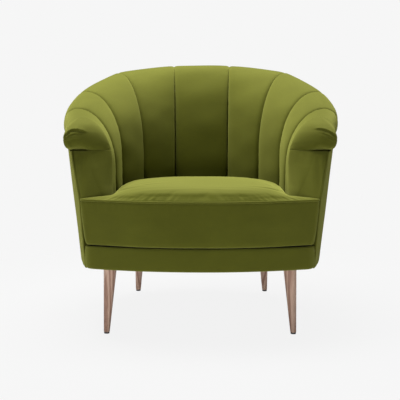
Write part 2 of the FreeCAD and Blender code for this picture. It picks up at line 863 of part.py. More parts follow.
def station_points(station, sign):
    seat = Vector(size(f"seat_across_{station}"), size(f"seat_back_{station}"), 0)
    rim = Vector(size(f"rim_across_{station}"), size(f"rim_back_{station}"), 0)
    crest = size(f"rim_height_{station}")
    rise = size(f"flare_rise_{station}")
    reach = (rim - seat).Length
    outward = (rim - seat) / reach
    roll_way = direction(ROLL_TURNS[station])
    up = Vector(0, 0, 1)
    start = crest - rise
    half_width = size("roll_half_width")
    half_height = size("roll_half_height")
    rows = [(seat + up * pad_foot, outward), (seat + up * size("seat_level_height"), outward)]
    for turn in FLARE_TURNS:
        cosine, sine = math.cos(math.radians(turn)), math.sin(math.radians(turn))
        point = seat + outward * (reach * (1 - cosine)) + up * (start + rise * sine)
        facing = outward * (rise * cosine) - up * (reach * sine)
        rows.append((point, facing.normalize()))
    for turn in ROLL_STEPS:
        cosine, sine = math.cos(math.radians(turn)), math.sin(math.radians(turn))
        point = rim + roll_way * (half_width * sine) + up * (crest - half_height * (1 - cosine))
        facing = roll_way * (-half_height * sine) - up * (half_width * cosine)
        rows.append((point, facing.normalize()))
    tuck = rim + roll_way * size(f"tuck_out_{station}") + up * (crest - size(f"tuck_drop_{station}"))
    rows.append((tuck, roll_way * -1))
    return [(Vector(sign * p.x, p.y, p.z), Vector(sign * n.x, n.y, n.z)) for p, n in rows]


def pad_section(first, second, crown, bow, thickness, flat):
    """Four-sided section of a channel between two seams: crowned face, two sides and a straight back."""
    (p_one, n_one), (p_two, n_two) = first, second
    along = (p_two - p_one).normalize()
    gap = along * size("channel_gap")
    p_one, p_two = p_one + gap, p_two - gap
    outward = (n_one + n_two).normalize()
    outward = (outward - along * outward.dot(along)).normalize()
    square = along.cross(outward)
    q_one, q_two = p_one + n_one * thickness, p_two + n_two * thickness
    q_one = q_one - square * (q_one - p_one).dot(square)
    q_two = q_two - square * (q_two - p_one).dot(square)
    away = Vector(-along.y, along.x, 0).normalize()
    bulge = away * bow - outward * crown
    if flat:
        bulge = bulge - square * bulge.dot(square)
    top = (p_one + p_two) / 2 + bulge
    return Part.Wire(
        [
            Part.Arc(p_one, top, p_two).toShape(),
            Part.LineSegment(p_two, q_two).toShape(),
            Part.LineSegment(q_two, q_one).toShape(),
            Part.LineSegment(q_one, p_one).toShape(),
        ]
    )


def channel(first, second, crown, bow):
    """Padding between two seams; the seams run clockwise seen from above, so that the bow is outward."""
    thickness = size("pad_thickness")
    last = len(first) - 1
    sections = []
    for row, (one, two) in enumerate(zip(first, second)):
        sections.append(
            pad_section(
                one,
                two,
                crown * CROWN_SHARES[row],
                bow * BOW_SHARES[row],
                thickness * THICKNESS_SHARES[row],
                row == last,
            )
        )
    return Part.makeLoft(sections, True, True)


def wall_padding():
    left = [station_points(station, -1) for station in range(LAST_STATION + 1)]
    right = [station_points(station, 1) for station in range(LAST_STATION + 1)]
    seams = left + right[::-1]
    bows = [size(f"rim_bow_{station}") for station in range(LAST_STATION + 1)]
    bows = bows + bows[-2::-1]
    names = ["arm_panel_left"]
    names += [f"back_channel_{number}" for number in range(1, 2 * LAST_STATION)]
    names += ["arm_panel_right"]
    straps = []
    for name, one, two, bow in zip(names, seams, seams[1:], bows):
        crown = size("channel_crown") if name.startswith("back") else size("arm_panel_crown")
        shaped(name, channel(one, two, crown, bow))
        straps.append(strap(one, two))
    shaped("back_webbing", Part.makeCompound(straps))


# Webbing strap behind each channel, from the ring to the start of the rim
STRAP_ROWS = 6
STRAP_SIDE_SHARES = (0.3, 0.7)


def strap(first, second):
    sections = []
    for row in range(STRAP_ROWS):
        thickness = size("pad_thickness") * THICKNESS_SHARES[row]
        (p_one, n_one), (p_two, n_two) = first[row], second[row]
        q_one, q_two = p_one + n_one * thickness, p_two + n_two * thickness
        along = (q_two - q_one).normalize()
        outward = (n_one + n_two).normalize()
        outward = (outward - along * outward.dot(along)).normalize()
        one = q_one + (q_two - q_one) * STRAP_SIDE_SHARES[0] + outward * size("seat_clearance")
        two = q_one + (q_two - q_one) * STRAP_SIDE_SHARES[1] + outward * size("seat_clearance")
        deep = outward * size("strap_thickness")
        sections.append(Part.makePolygon([one, two, two + deep, one + deep, one]))
    return Part.makeLoft(sections, True, True)


# Arm fronts: the facing pad below the tuck seam and the rounded cap above it
BEND_DEPTH_SHARE = 0.71
CAP_DEPTH_SHARES = (0, 0.25, 0.5, 0.7, 0.86, 0.96, 1)
CAP_INNER_SHARES = (1, 0.87, 0.68, 0.53, 0.41, 0.35, 0.3)
CAP_OUTER_SHARES = (1, 1, 0.99, 0.97, 0.92, 0.84, 0.72)
CAP_HEIGHT_SHARES = (1, 0.985, 0.93, 0.87, 0.79, 0.71, 0.62)


def arm_fronts():
    station = station_points(0, 1)
    joint = size("seat_back_0") - size("channel_gap") * 2
    cap_floor = size("cap_level") - size("seat_clearance")
    facing_top = cap_floor - size("seat_clearance")
    levels = (
        (pad_foot, size("seat_level_front"), "low", 0.16),
        (size("seat_level_height"), size("seat_level_front"), "low", 0.16),
        (size("mid_arm_height"), size("mid_arm_front"), "mid", 0.22),
        (facing_top, size("arm_top_front"), "top", 0.27),
    )
    sections = []
    inset = size("panel_thickness") + size("facing_panel_gap")
    for height, front, zone, bend_share in levels:
        corner = size(f"facing_corner_{zone}")
        depth = size(f"facing_depth_{zone}")
        inner = size("seat_across_0")
        seam = Vector(inner, joint, height)
        turn = Vector(inner + corner, joint - depth, height)
        bend = Vector(inner + corner * bend_share, joint - depth * BEND_DEPTH_SHARE, height)
        edge = Vector(side_across(height, -front, inset), -front, height)
        rear = Vector(side_across(height, joint, inset), joint, height)
        chord = edge - turn
        ahead = Vector(chord.y, -chord.x, 0).normalize()
        middle = (turn + edge) / 2 + ahead * size("facing_bulge")
        sections.append(
            Part.Wire(
                [
                    Part.Arc(seam, bend, turn).toShape(),
                    Part.Arc(turn, middle, edge).toShape(),
                    Part.LineSegment(edge, rear).toShape(),
                    Part.LineSegment(rear, seam).toShape(),
                ]
            )
        )
    facing = Part.makeLoft(sections, True, True)
    shaped("arm_facing_right", facing)
    shaped("arm_facing_left", facing.mirror(Vector(0, 0, 0), Vector(1, 0, 0)))

    crest = station[CREST_ROW][0]
    inner_flank = station[CREST_ROW - 3][0]
    outer_flank = station[CREST_ROW + 3][0]
    tuck = station[-1][0]
    centre = crest.x + size("cap_centre_shift")
    outline = (
        (size("seat_across_0"), cap_floor),
        (inner_flank.x, inner_flank.z),
        (crest.x, crest.z),
        (outer_flank.x, outer_flank.z),
        (tuck.x, cap_floor),
    )
    cap_sections = []
    shares = zip(CAP_DEPTH_SHARES, CAP_INNER_SHARES, CAP_OUTER_SHARES, CAP_HEIGHT_SHARES)
    for depth_share, inner_share, outer_share, height_share in shares:
        y = joint - size("cap_depth") * depth_share
        points = []
        for x, z in outline:
            width_share = inner_share if x < centre else outer_share
            across = centre + (x - centre) * width_share
            points.append(Vector(across, y, cap_floor + (z - cap_floor) * height_share))
        cap_sections.append(
            Part.Wire(
                [
                    Part.Arc(points[0], points[1], points[2]).toShape(),
                    Part.Arc(points[2], points[3], points[4]).toShape(),
                    Part.LineSegment(points[4], points[0]).toShape(),
                ]
            )
        )
    cap = Part.makeLoft(cap_sections, True, True)
    shaped("arm_cap_right", cap)
    shaped("arm_cap_left", cap.mirror(Vector(0, 0, 0), Vector(1, 0, 0)))


# Timber in the wall: the rails under the rim and the posts that carry them
def rim_rail_section(station, sign):
    centre = Vector(sign * size(f"rim_across_{station}"), size(f"rim_back_{station}"), 0)
    way = direction(ROLL_TURNS[station])
    way = Vector(sign * way.x, way.y, 0) * (size("rim_rail_width") / 2)
    top = Vector(0, 0, size(f"rim_height_{station}") - size("rim_rail_drop"))
    foot = top - Vector(0, 0, size("rim_rail_height"))
    inner, outer = centre - way, centre + way
    return Part.makePolygon([inner + top, outer + top, outer + foot, inner + foot, inner + top])


def post(foot, head, foot_level, head_level):
    half_x, half_y = size("post_width") / 2, size("post_depth") / 2
    sections = []
    for middle, level in ((foot, foot_level), (head, head_level)):
        corners = [
            Vector(middle.x + dx * half_x, middle.y + dy * half_y, level)
            for dx, dy in ((-1, -1), (1, -1), (1, 1), (-1, 1), (-1, -1))
        ]
        sections.append(Part.makePolygon(corners))
    return Part.makeLoft(sections, True, True)


def rail_underside(station):
    return size(f"rim_height_{station}") - size("rim_rail_drop") - size("rim_rail_height")


def wall_timber():
    reaches = {0: None, 2: size("side_post_reach"), 3: size("back_post_reach")}
    names = {0: "arm_post", 2: "side_post", 3: "back_post"}
    for side, sign in SIDES:
        arm = Part.makeLoft([rim_rail_section(station, sign) for station in range(LAST_STATION)], True, True)
        shaped(f"arm_rail_{side}", arm)
        for station, reach in reaches.items():
            seat = Vector(size(f"seat_across_{station}"), size(f"seat_back_{station}"), 0)
            rim = Vector(size(f"rim_across_{station}"), size(f"rim_back_{station}"), 0)
            if reach is None:
                set_back = Vector(0, size("post_depth") / 2 + size("seat_clearance"), 0)
                foot = Vector(size("arm_post_across"), seat.y, 0) + set_back
                head = rim + set_back
            else:
                outward = (rim - seat).normalize()
                foot = seat + outward * reach
                head = rim - outward * size("post_head_set_in")
            foot = Vector(sign * foot.x, foot.y, 0)
            head = Vector(sign * head.x, head.y, 0)
            shaped(f"{names[station]}_{side}", post(foot, head, pad_foot, rail_underside(station)).cut(arm))
    ends = ((LAST_STATION - 1, -1), (LAST_STATION, -1), (LAST_STATION, 1), (LAST_STATION - 1, 1))
    back = [rim_rail_section(station, sign) for station, sign in ends]
    shaped("top_rail_back", Part.makeLoft(back, True, True))


# Seat cushion: foam core, fibre crown, cover panels and piping, all on one T-shaped plan
def cushion_corners(draw_in=0, ear_taper=0):
    """Corners (x, y, radius) of the cushion's plan, moved in by draw_in, its ears narrowed by ear_taper."""
    right = [
        (size("bow_point_across"), -size("cushion_front"), size("bow_point_radius")),
        (size("ear_across") - ear_taper, -size("ear_front"), size("ear_front_radius")),
        (size("ear_across") - ear_taper, -size("ear_back"), size("ear_back_radius")),
        (size("notch_across"), -size("notch_forward"), size("notch_radius")),
        (size("side_turn_across"), -size("side_turn_forward"), size("side_turn_radius")),
        (size("hip_turn_across"), -size("hip_turn_forward"), size("hip_turn_radius")),
        (size("rear_turn_across"), size("rear_turn_back"), size("rear_turn_radius")),
        (size("tail_turn_across"), size("tail_turn_back"), size("tail_turn_radius")),
    ]
    corners = right + [(-x, y, radius) for x, y, radius in reversed(right)]
    moved = []
    for index, (x, y, radius) in enumerate(corners):
        here = Vector(x, y, 0)
        to_last = (Vector(*corners[index - 1][:2], 0) - here).normalize()
        to_next = (Vector(*corners[(index + 1) % len(corners)][:2], 0) - here).normalize()
        half = to_last.getAngle(to_next) / 2
        inner = 1 if to_next.cross(to_last).z > 0 else -1
        here = here + (to_last + to_next).normalize() * (inner * draw_in / math.sin(half))
        moved.append((here.x, here.y, max(radius - inner * draw_in, size("least_corner_radius"))))
    return moved


BOXING_LEVEL_SHARES = (0, 0.025, 0.07, 0.14, 0.5, 0.93, 1)
BOXING_ROUND_SHARES = (1, 0.5, 0.17, 0, 0, 0, 0.14)
CROWN_LEVEL_SHARES = (0, 0.1, 0.26, 0.5, 0.77, 0.95, 1)
CROWN_BLEND_SHARES = (0, 0.03, 0.1, 0.24, 0.46, 0.74, 1)
CROWN_RADIUS_SHARE = 0.3


def plan_wire(corners, height):
    wire = Part.Wire(rounded(corners))
    wire.translate(Vector(0, 0, height))
    return wire


def crown_corners(draw_in, blend_share):
    """Plan between the cushion's drawn-in outline (share 0) and a small ellipse in its middle (share 1)."""
    corners = []
    for x, y, radius in cushion_corners(draw_in):
        ahead = y + size("cushion_centre_forward")
        reach = math.hypot(x, ahead)
        top_x = size("crown_half_width") * x / reach
        top_y = size("crown_half_depth") * ahead / reach - size("cushion_centre_forward")
        top_radius = min(radius * CROWN_RADIUS_SHARE, size("crown_corner_radius"))
        corners.append(
            (
                x + (top_x - x) * blend_share,
                y + (top_y - y) * blend_share,
                radius + (top_radius - radius) * blend_share,
            )
        )
    return corners


def boxed(inset, low, high):
    """Solid inside the boxing at an inset, from low below its foot to high above its top."""
    floor = boxing_bottom
    tall = size("boxing_height")
    rings = []
    for level_share, round_share in zip(BOXING_LEVEL_SHARES, BOXING_ROUND_SHARES):
        height = floor + tall * level_share
        if level_share == BOXING_LEVEL_SHARES[0]:
            height -= low
        if level_share == BOXING_LEVEL_SHARES[-1]:
            height += high
        corners = cushion_corners(
            inset + size("boxing_round") * round_share, size("ear_taper") * (1 - level_share)
        )
        rings.append(plan_wire(corners, height))
    return Part.makeLoft(rings, True, True)


def dome(inset, base):
    rings = []
    for level_share, blend_share in zip(CROWN_LEVEL_SHARES, CROWN_BLEND_SHARES):
        height = base + size("crown_height") * level_share
        rings.append(plan_wire(crown_corners(inset, blend_share), height))
    return Part.makeLoft(rings, True, True)


def seat_cushion():
    floor = boxing_bottom
    thin = size("cover_thickness")
    gap = size("cushion_fill_gap")
    overrun = size("cut_overrun")
    shaped("cushion_boxing", boxed(0, 0, 0).cut(boxed(thin, overrun, overrun)))
    shaped("cushion_core", boxed(thin + gap, -gap, 0))

    foot = plan_wire(cushion_corners(size("boxing_round"), size("ear_taper")), cushion_underside)
    shaped("cushion_bottom_panel", Part.Face(foot).extrude(Vector(0, 0, floor - gap - cushion_underside)))

    rim = top_panel_rim
    seam_inset = size("piping_inset")
    cover = dome(seam_inset, rim)
    hollow = dome(seam_inset, rim - thin)
    shaped("cushion_top_panel", cover.cut(hollow))
    fill_floor = boxing_top + gap
    wrap_base = rim - thin - gap
    wrap = dome(seam_inset + size("piping_radius") + thin, wrap_base)
    pillow_plan = plan_wire(cushion_corners(seam_inset + size("piping_radius") + thin), fill_floor)
    pillow = Part.Face(pillow_plan).extrude(Vector(0, 0, wrap_base - fill_floor))
    shaped("cushion_fibre_crown", wrap.fuse(pillow).removeSplitter())

    path = plan_wire(cushion_corners(seam_inset), (boxing_top + rim) / 2)
    start = path.Edges[0].valueAt(path.Edges[0].FirstParameter)
    heading = path.Edges[0].tangentAt(path.Edges[0].FirstParameter)
    profile = Part.Wire([Part.Circle(start, heading, size("piping_radius")).toShape()])
    shaped("cushion_piping", path.makePipeShell([profile], True, False))


cover_holes = leg_set()
base_frame(cover_holes)
seat_suspension()
seat_deck()
front_border()
outside_panels()
wall_padding()
arm_fronts()
wall_timber()
seat_cushion()
doc.recompute()

# Each object is checked before anything is written
faulty = [thing.Name for thing in doc.Objects if "Invalid" in thing.State or "Error" in thing.State]
faulty += [name for name, thing in nodes.items() if thing.Shape.isNull() or not thing.Shape.isValid()]
if faulty:
    raise RuntimeError(f"faulty: {faulty}")
for name, thing in nodes.items():
    thing.Shape.exportStep(f"parts/{name}.step")
total = Part.makeCompound([thing.Shape for thing in nodes.values()]).BoundBox
print(len(nodes), "nodes")
print("X", total.XMin, total.XMax, "Y", total.YMin, total.YMax, "Z", total.ZMin, total.ZMax)
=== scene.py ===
import math

import bmesh
import bpy
import numpy as np
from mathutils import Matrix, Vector
from mathutils.kdtree import KDTree


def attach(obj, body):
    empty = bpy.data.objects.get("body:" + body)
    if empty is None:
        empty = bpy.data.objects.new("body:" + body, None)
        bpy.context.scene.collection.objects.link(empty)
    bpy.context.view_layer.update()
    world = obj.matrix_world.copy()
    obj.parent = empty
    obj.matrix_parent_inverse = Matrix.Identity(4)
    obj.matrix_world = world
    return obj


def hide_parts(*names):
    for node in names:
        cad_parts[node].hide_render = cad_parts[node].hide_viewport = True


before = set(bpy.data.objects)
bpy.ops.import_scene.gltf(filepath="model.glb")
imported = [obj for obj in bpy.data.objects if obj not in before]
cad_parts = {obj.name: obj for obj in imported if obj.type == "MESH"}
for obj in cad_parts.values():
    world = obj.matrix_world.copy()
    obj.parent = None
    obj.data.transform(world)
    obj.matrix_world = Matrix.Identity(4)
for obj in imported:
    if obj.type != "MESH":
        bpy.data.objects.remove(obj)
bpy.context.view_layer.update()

# Lengths are in millimetres, except where Blender is given metres
MM = 0.001
UP = np.array([0.0, 0.0, 1.0])
ANY_PHASE = (0, 6.28)
chance = np.random.default_rng(11)

# ---------------------------------------------------------------- wall: seams from arm front to back middle
# Each seam of the right half: its plan points on the seat and on the rim, the rim's height, the rise of the
# flare below it, how far out and down the roll is tucked, and which way the roll turns, in degrees
SEAT_POINTS = [(261, -190), (264, -100), (255, 0), (190, 112), (88, 200)]
RIM_POINTS = [(355, -190), (387, -20), (378, 120), (286, 279), (98, 334.5)]
RIM_HEIGHTS = [632, 652, 704, 766, 789]
FLARE_RISES = [132, 180, 190, 255, 285]
TUCK_OUTS = [30, 24, 25, 18, 18]
TUCK_DROPS = [95, 86, 86, 86, 86]
ROLL_TURNS = [0, 3, 24, 54, 83]
# How far the rim bows out between a seam and the next, and the roll's underside, to meet the outside panel
RIM_BOWS = [2, 5, 7, 12, 3.5]
TUCK_BOWS = [0, 0, 13, 0, 0]
ROLL_HALF_WIDTH = 44
ROLL_HALF_HEIGHT = 42
PAD_FOOT = 256.8
SEAT_LEVEL = 400
PAD_THICKNESS = 30
CHANNEL_CROWN = 9
PANEL_CROWN = 4
SEAM_GAP = 0.4
SEAM_DEPTH, SEAM_WIDTH = 4.5, 4.2
RIPPLE_SIZE = 0.55
# Rows of a seam's profile: foot 0, seat, start of the flare, crest of the rim, end of the roll, end of the tuck
SEAT_ROW, FLARE_ROW, CREST_ROW, ROLL_ROW, LAST_ROW = 1, 2, 8, 12, 13
FLARE_STEP, ROLL_STEP = 15, 30
THICKNESS_SHARES = (1, 1, 1, 1, 0.98, 0.96, 0.93, 0.89, 0.85, 0.8, 0.7, 0.58, 0.42, 0.27)
CROWN_SHARES = (1, 1, 1, 1, 0.97, 0.88, 0.72, 0.52, 0.34, 0.3, 0.27, 0.24, 0.18, 0.12)
BOW_SHARES = (0, 0, 0, 0.03, 0.13, 0.29, 0.5, 0.74, 1, 1, 1, 1, 1, 1)
ROW_RUNS = ((0, SEAT_ROW, 7), (SEAT_ROW, FLARE_ROW, 8), (FLARE_ROW, CREST_ROW, 36), (CREST_ROW, ROLL_ROW, 24))
ROWS = np.concatenate(
    [np.linspace(low, high, count, endpoint=False) for low, high, count in ROW_RUNS]
    + [np.linspace(ROLL_ROW, LAST_ROW, 8)]
)
FINE_ROWS = np.linspace(0, LAST_ROW, 521)
BLUR = np.hanning(41) / np.hanning(41).sum()


def unit(vectors):
    return vectors / np.linalg.norm(vectors, axis=-1, keepdims=True)


def grown(run, reach):
    """From 0 at an edge to 1 well away from it."""
    return 1 - np.exp(-run / reach)


def eased(shares):
    """A table by profile row, read at the dense rows and smoothed."""
    margin = len(BLUR) // 2
    fine = np.pad(np.interp(FINE_ROWS, np.arange(len(shares)), shares), margin, mode="edge")
    return np.interp(ROWS, FINE_ROWS, np.convolve(fine, BLUR, mode="same")[margin:-margin])


def profile_point(station, row):
    """Point and padding direction on a wall seam of the right side."""
    seat = np.array([*SEAT_POINTS[station], 0.0])
    rim = np.array([*RIM_POINTS[station], 0.0])
    crest, rise = RIM_HEIGHTS[station], FLARE_RISES[station]
    reach = np.linalg.norm(rim - seat)
    outward = (rim - seat) / reach
    start = crest - rise
    if row <= SEAT_ROW:
        return seat + UP * (PAD_FOOT + (SEAT_LEVEL - PAD_FOOT) * row), outward
    if row <= FLARE_ROW:
        return seat + UP * (SEAT_LEVEL + (start - SEAT_LEVEL) * (row - SEAT_ROW)), outward
    on_flare = row <= CREST_ROW
    turned = (row - FLARE_ROW) * FLARE_STEP if on_flare else (min(row, ROLL_ROW) - CREST_ROW) * ROLL_STEP
    sine, cosine = math.sin(math.radians(turned)), math.cos(math.radians(turned))
    if on_flare:
        point = seat + outward * (reach * (1 - cosine)) + UP * (start + rise * sine)
        return point, unit(outward * (rise * cosine) - UP * (reach * sine))
    turn = math.radians(ROLL_TURNS[station])
    roll_way = np.array([math.cos(turn), math.sin(turn), 0.0])
    point = rim + roll_way * (ROLL_HALF_WIDTH * sine) + UP * (crest - ROLL_HALF_HEIGHT * (1 - cosine))
    facing = unit(-roll_way * (ROLL_HALF_HEIGHT * sine) - UP * (ROLL_HALF_WIDTH * cosine))
    if row > ROLL_ROW:
        tuck = rim + roll_way * TUCK_OUTS[station] + UP * (crest - TUCK_DROPS[station])
        share = row - ROLL_ROW
        point = point + (tuck - point) * share
        facing = unit(facing * (1 - share) - roll_way * share)
    return point, facing


def seam_curve(station, side):
    """Points and padding directions down a seam, on the right (1) or on the left (-1)."""
    pairs = [profile_point(station, row) for row in ROWS]
    flip = np.array([side, 1, 1])
    return tuple(np.array(column) * flip for column in zip(*pairs))


# ---------------------------------------------------------------- meshes
def linked(name, data):
    """A new object in the scene."""
    piece = bpy.data.objects.new(name, data)
    bpy.context.scene.collection.objects.link(piece)
    return piece


def raised(plan, height, side=1):
    """Plan points at one height or at a height each, mirrored where side is -1."""
    return np.column_stack([plan[:, 0] * side, plan[:, 1], np.broadcast_to(height, len(plan))])


def plain_mesh(name, points, edges, faces):
    mesh = bpy.data.meshes.new(name)
    mesh.from_pydata([tuple(point) for point in np.asarray(points) * MM], edges, faces)
    return mesh


def mesh_object(name, points, faces):
    """A piece from points and faces, its faces turned outward."""
    mesh = plain_mesh(name, points, [], faces)
    shape = bmesh.new()
    shape.from_mesh(mesh)
    bmesh.ops.remove_doubles(shape, verts=shape.verts, dist=1e-6)
    bmesh.ops.recalc_face_normals(shape, faces=shape.faces)
    for face in shape.faces:
        face.smooth = True
    shape.to_mesh(mesh)
    shape.free()
    return linked(name, mesh)


def ring_faces(count, around):
    """Faces between closed rings that follow each other."""
    faces = []
    for ring in range(count - 1):
        low, high = ring * around, (ring + 1) * around
        for place in range(around):
            following = (place + 1) % around
            faces.append((low + place, low + following, high + following, high + place))
    return faces


def flat_end(first, around):
    """Faces across a ring whose second half runs back along the first."""
    half = around // 2
    return [
        (first + place, first + place + 1, first + around - 2 - place, first + around - 1 - place)
        for place in range(half - 1)
    ]


def folded_solid(name, rings):
    """Closed solid through rings of front points followed by the back points in reverse."""
    around = len(rings[0])
    faces = ring_faces(len(rings), around)
    faces += flat_end(0, around) + flat_end((len(rings) - 1) * around, around)
    return mesh_object(name, np.concatenate(rings), faces)


def waves(lengths, count, low, high):
    """Seeded irregular ripple along a length, between about -1 and 1, of wave lengths from low to high."""
    total = np.zeros_like(lengths, dtype=float)
    for _ in range(count):
        total += np.sin(2 * math.pi * lengths / chance.uniform(low, high) + chance.uniform(*ANY_PHASE))
    return total / math.sqrt(count)


def run_lengths(points):
    """Length along a line up to each of its points."""
    steps = np.linalg.norm(np.diff(points, axis=0), axis=-1)
    return np.concatenate([[0], np.cumsum(steps)])


# ---------------------------------------------------------------- channels and arm panels
COLUMNS = 0.5 - 0.5 * np.cos(np.linspace(0, math.pi, 31))


def smooth_step(values, low, high):
    share = np.clip((values - low) / (high - low), 0, 1)
    return share * share * (3 - 2 * share)


def pillow(places, open_side):
    """Height of the padding across a channel; an open side runs level into the arm's front."""
    full = (1 - np.minimum(np.abs(2 * places - 1), 1) ** 2.6) ** 0.62
    if open_side is None:
        return full
    from_open = places if open_side == 0 else 1 - places
    return np.where(from_open < 0.5, smooth_step(from_open, 0, 0.5), full)


def between(first, second, places):
    """Points from each row of the first to the same row of the second."""
    return first[:, None, :] * (1 - places[..., None]) + second[:, None, :] * places[..., None]


def wall_piece(name, first, second, crown, bow, tuck_bow, open_side=None):
    """Padded piece between two seams: crowned across, drawn in and rippled where it is sewn, bowed by row."""
    (p_one, n_one), (p_two, n_two) = first, second
    along = unit(p_two - p_one)
    p_one, p_two = p_one + along * SEAM_GAP, p_two - along * SEAM_GAP
    outward = unit(n_one + n_two)
    outward = unit(outward - along * (outward * along).sum(-1, keepdims=True))
    square = np.cross(along, outward)
    thick = eased(THICKNESS_SHARES)[:, None] * PAD_THICKNESS
    backs = [p_one + n_one * thick, p_two + n_two * thick]
    backs = [back - square * ((back - p_one) * square).sum(-1, keepdims=True) for back in backs]
    away = unit(np.stack([-along[:, 1], along[:, 0], np.zeros(len(along))], axis=-1))
    crowns = eased(CROWN_SHARES) * crown
    bows = eased(BOW_SHARES) * bow + np.clip(ROWS - ROLL_ROW, 0, 1) * tuck_bow
    widths = np.linalg.norm(p_two - p_one, axis=-1)[:, None]
    lengths = run_lengths((p_one + p_two) / 2)
    t = COLUMNS[None, :]
    relief = crowns[:, None] * pillow(t, open_side)
    fade = np.clip(crowns / crown, 0.6, 1)[:, None]
    for side, gap in ((0, t * widths), (1, (1 - t) * widths)):
        if side != open_side:
            relief = relief - SEAM_DEPTH * fade * np.exp(-((gap / SEAM_WIDTH) ** 1.3))
            ripple = waves(lengths, 5, 11, 34)[:, None] * RIPPLE_SIZE
            relief = relief + ripple * np.exp(-gap / 13) * grown(gap, 2.5)
    broad = waves(lengths, 3, 90, 260)[:, None] * np.sin(math.pi * t) * 0.9
    broad += waves(lengths, 3, 60, 150)[:, None] * np.sin(2 * math.pi * t) * 0.5
    if open_side is None:
        relief = relief + broad
    bowed = away[:, None, :] * (bows[:, None] * 4 * t * (1 - t))[..., None]
    front = between(p_one, p_two, t) + bowed - outward[:, None, :] * relief[..., None]
    back = between(*backs, t)
    return folded_solid(name, list(np.concatenate([front, back[:, ::-1]], axis=1)))


velvet_pieces = []
seams = [seam_curve(station, -1) for station in range(5)]
seams += [seam_curve(station, 1) for station in range(4, -1, -1)]
bows = RIM_BOWS + RIM_BOWS[-2::-1]
tuck_bows = TUCK_BOWS + TUCK_BOWS[-2::-1]
wall_nodes = ["arm_panel_left"] + [f"back_channel_{number}" for number in range(1, 8)] + ["arm_panel_right"]
for index, node in enumerate(wall_nodes):
    open_side = {0: 0, 8: 1}.get(index)
    crown = CHANNEL_CROWN if open_side is None else PANEL_CROWN
    pair = seams[index], seams[index + 1]
    piece = wall_piece(f"velvet_{node}", *pair, crown, bows[index], tuck_bows[index], open_side)
    velvet_pieces.append((piece, node, 0.85))


# ---------------------------------------------------------------- arm fronts
# Where the arm fronts begin behind, the level of the seam between facing and cap, and the body's plan:
# half width, widest place and back at the hem, and how much each grows up to PLAN_TOP
JOINT = -190.8
FACING_TOP, CAP_FLOOR = 536.2, 536.7
SIDE_RADIUS = 720
HEM, PLAN_TOP = 205, 560
HEM_PLAN = (365, -90, 303)
PLAN_GROWTH = (46, 60, 42)
# The facing: inset from the body's plan, radius of its outer edge and bulge of its face
FACING_INSET, EDGE_RADIUS, FACE_BULGE = 3.5, 5.0, 2.0
# The inner turn from the arm panel to the front: points before it and on it, its reach and fullness at the cap
LEAD_POINTS, WRAP_POINTS = 8, 26
TOP_SWEEP, TOP_PULL = 74, 0.26
# By height: the facing's front, the depth and place of its inner turn, and the turn's reach and fullness
FACING_LEVELS = (PAD_FOOT, 400, 490, 536.4)
FACING_TABLES = (
    (FACING_LEVELS, (-311, -311, -272, -250)),
    (FACING_LEVELS, (63, 63, 56, 50)),
    (FACING_LEVELS, (13, 14, 31, 44)),
    ((PAD_FOOT, 390, 440, 500, 536.4), (24, 27, 48, 68, TOP_SWEEP)),
    ((400, 450, 500, 536.4), (0.55, 0.45, 0.32, TOP_PULL)),
)
# Soft upright folds of the facing: depth, place across, sway and width
FACING_FOLDS = ((1.5, 325, 3, 9), (-1.1, 341, 2, 6), (0.7, 352, 2, 5), (-0.9, 300, 4, 11))


def plan_at(height):
    """Half width, widest place and back of the body's plan at a height."""
    rise = (height - HEM) / (PLAN_TOP - HEM)
    return [start + rise * growth for start, growth in zip(HEM_PLAN, PLAN_GROWTH)]


def side_across(height, place, inset):
    """How far out the body's side is at a height and a place front to back."""
    half_width, widest, _ = plan_at(height)
    return float(half_width - SIDE_RADIUS + np.sqrt((SIDE_RADIUS - inset) ** 2 - (place - widest) ** 2))


def three_point_arc(start, middle, end, count):
    """Points on the circle through three plan points."""
    ax, ay, bx, by, cx, cy = *start, *middle, *end
    d = 2 * (ax * (by - cy) + bx * (cy - ay) + cx * (ay - by))
    a_square, b_square, c_square = ax**2 + ay**2, bx**2 + by**2, cx**2 + cy**2
    ux = (a_square * (by - cy) + b_square * (cy - ay) + c_square * (ay - by)) / d
    uy = (a_square * (cx - bx) + b_square * (ax - cx) + c_square * (bx - ax)) / d
    radius = math.hypot(ax - ux, ay - uy)
    angles = [math.atan2(y - uy, x - ux) for x, y in (start, middle, end)]
    for place in (1, 2):
        while angles[place] - angles[place - 1] > math.pi:
            angles[place] -= 2 * math.pi
        while angles[place] - angles[place - 1] < -math.pi:
            angles[place] += 2 * math.pi
    turns = np.interp(np.linspace(0, 2, count), [0, 1, 2], angles)
    return np.stack([ux + radius * np.cos(turns), uy + radius * np.sin(turns)], axis=-1)


def bump(values, centre, width):
    return np.exp(-(((values - centre) / width) ** 2))


def puckers(size, gap, reach, run, pitch, wander):
    """Fine creases across a run that fade with the gap to a seam."""
    return size * np.exp(-gap / reach) * np.sin(run / pitch + wander)


def bezier(points, count):
    t = np.linspace(0, 1, count)[:, None]
    a, b, c, d = points
    return a * (1 - t) ** 3 + 3 * b * t * (1 - t) ** 2 + 3 * c * t * t * (1 - t) + d * t**3


def front_seam(rows):
    """The arm panel's front seam at profile rows, and how far out it runs for each length ahead."""
    here, there = (np.array([profile_point(station, row)[0] for row in rows]) for station in (0, 1))
    return here, (here - there)[:, 0] / np.maximum(there[:, 1] - here[:, 1], 20)


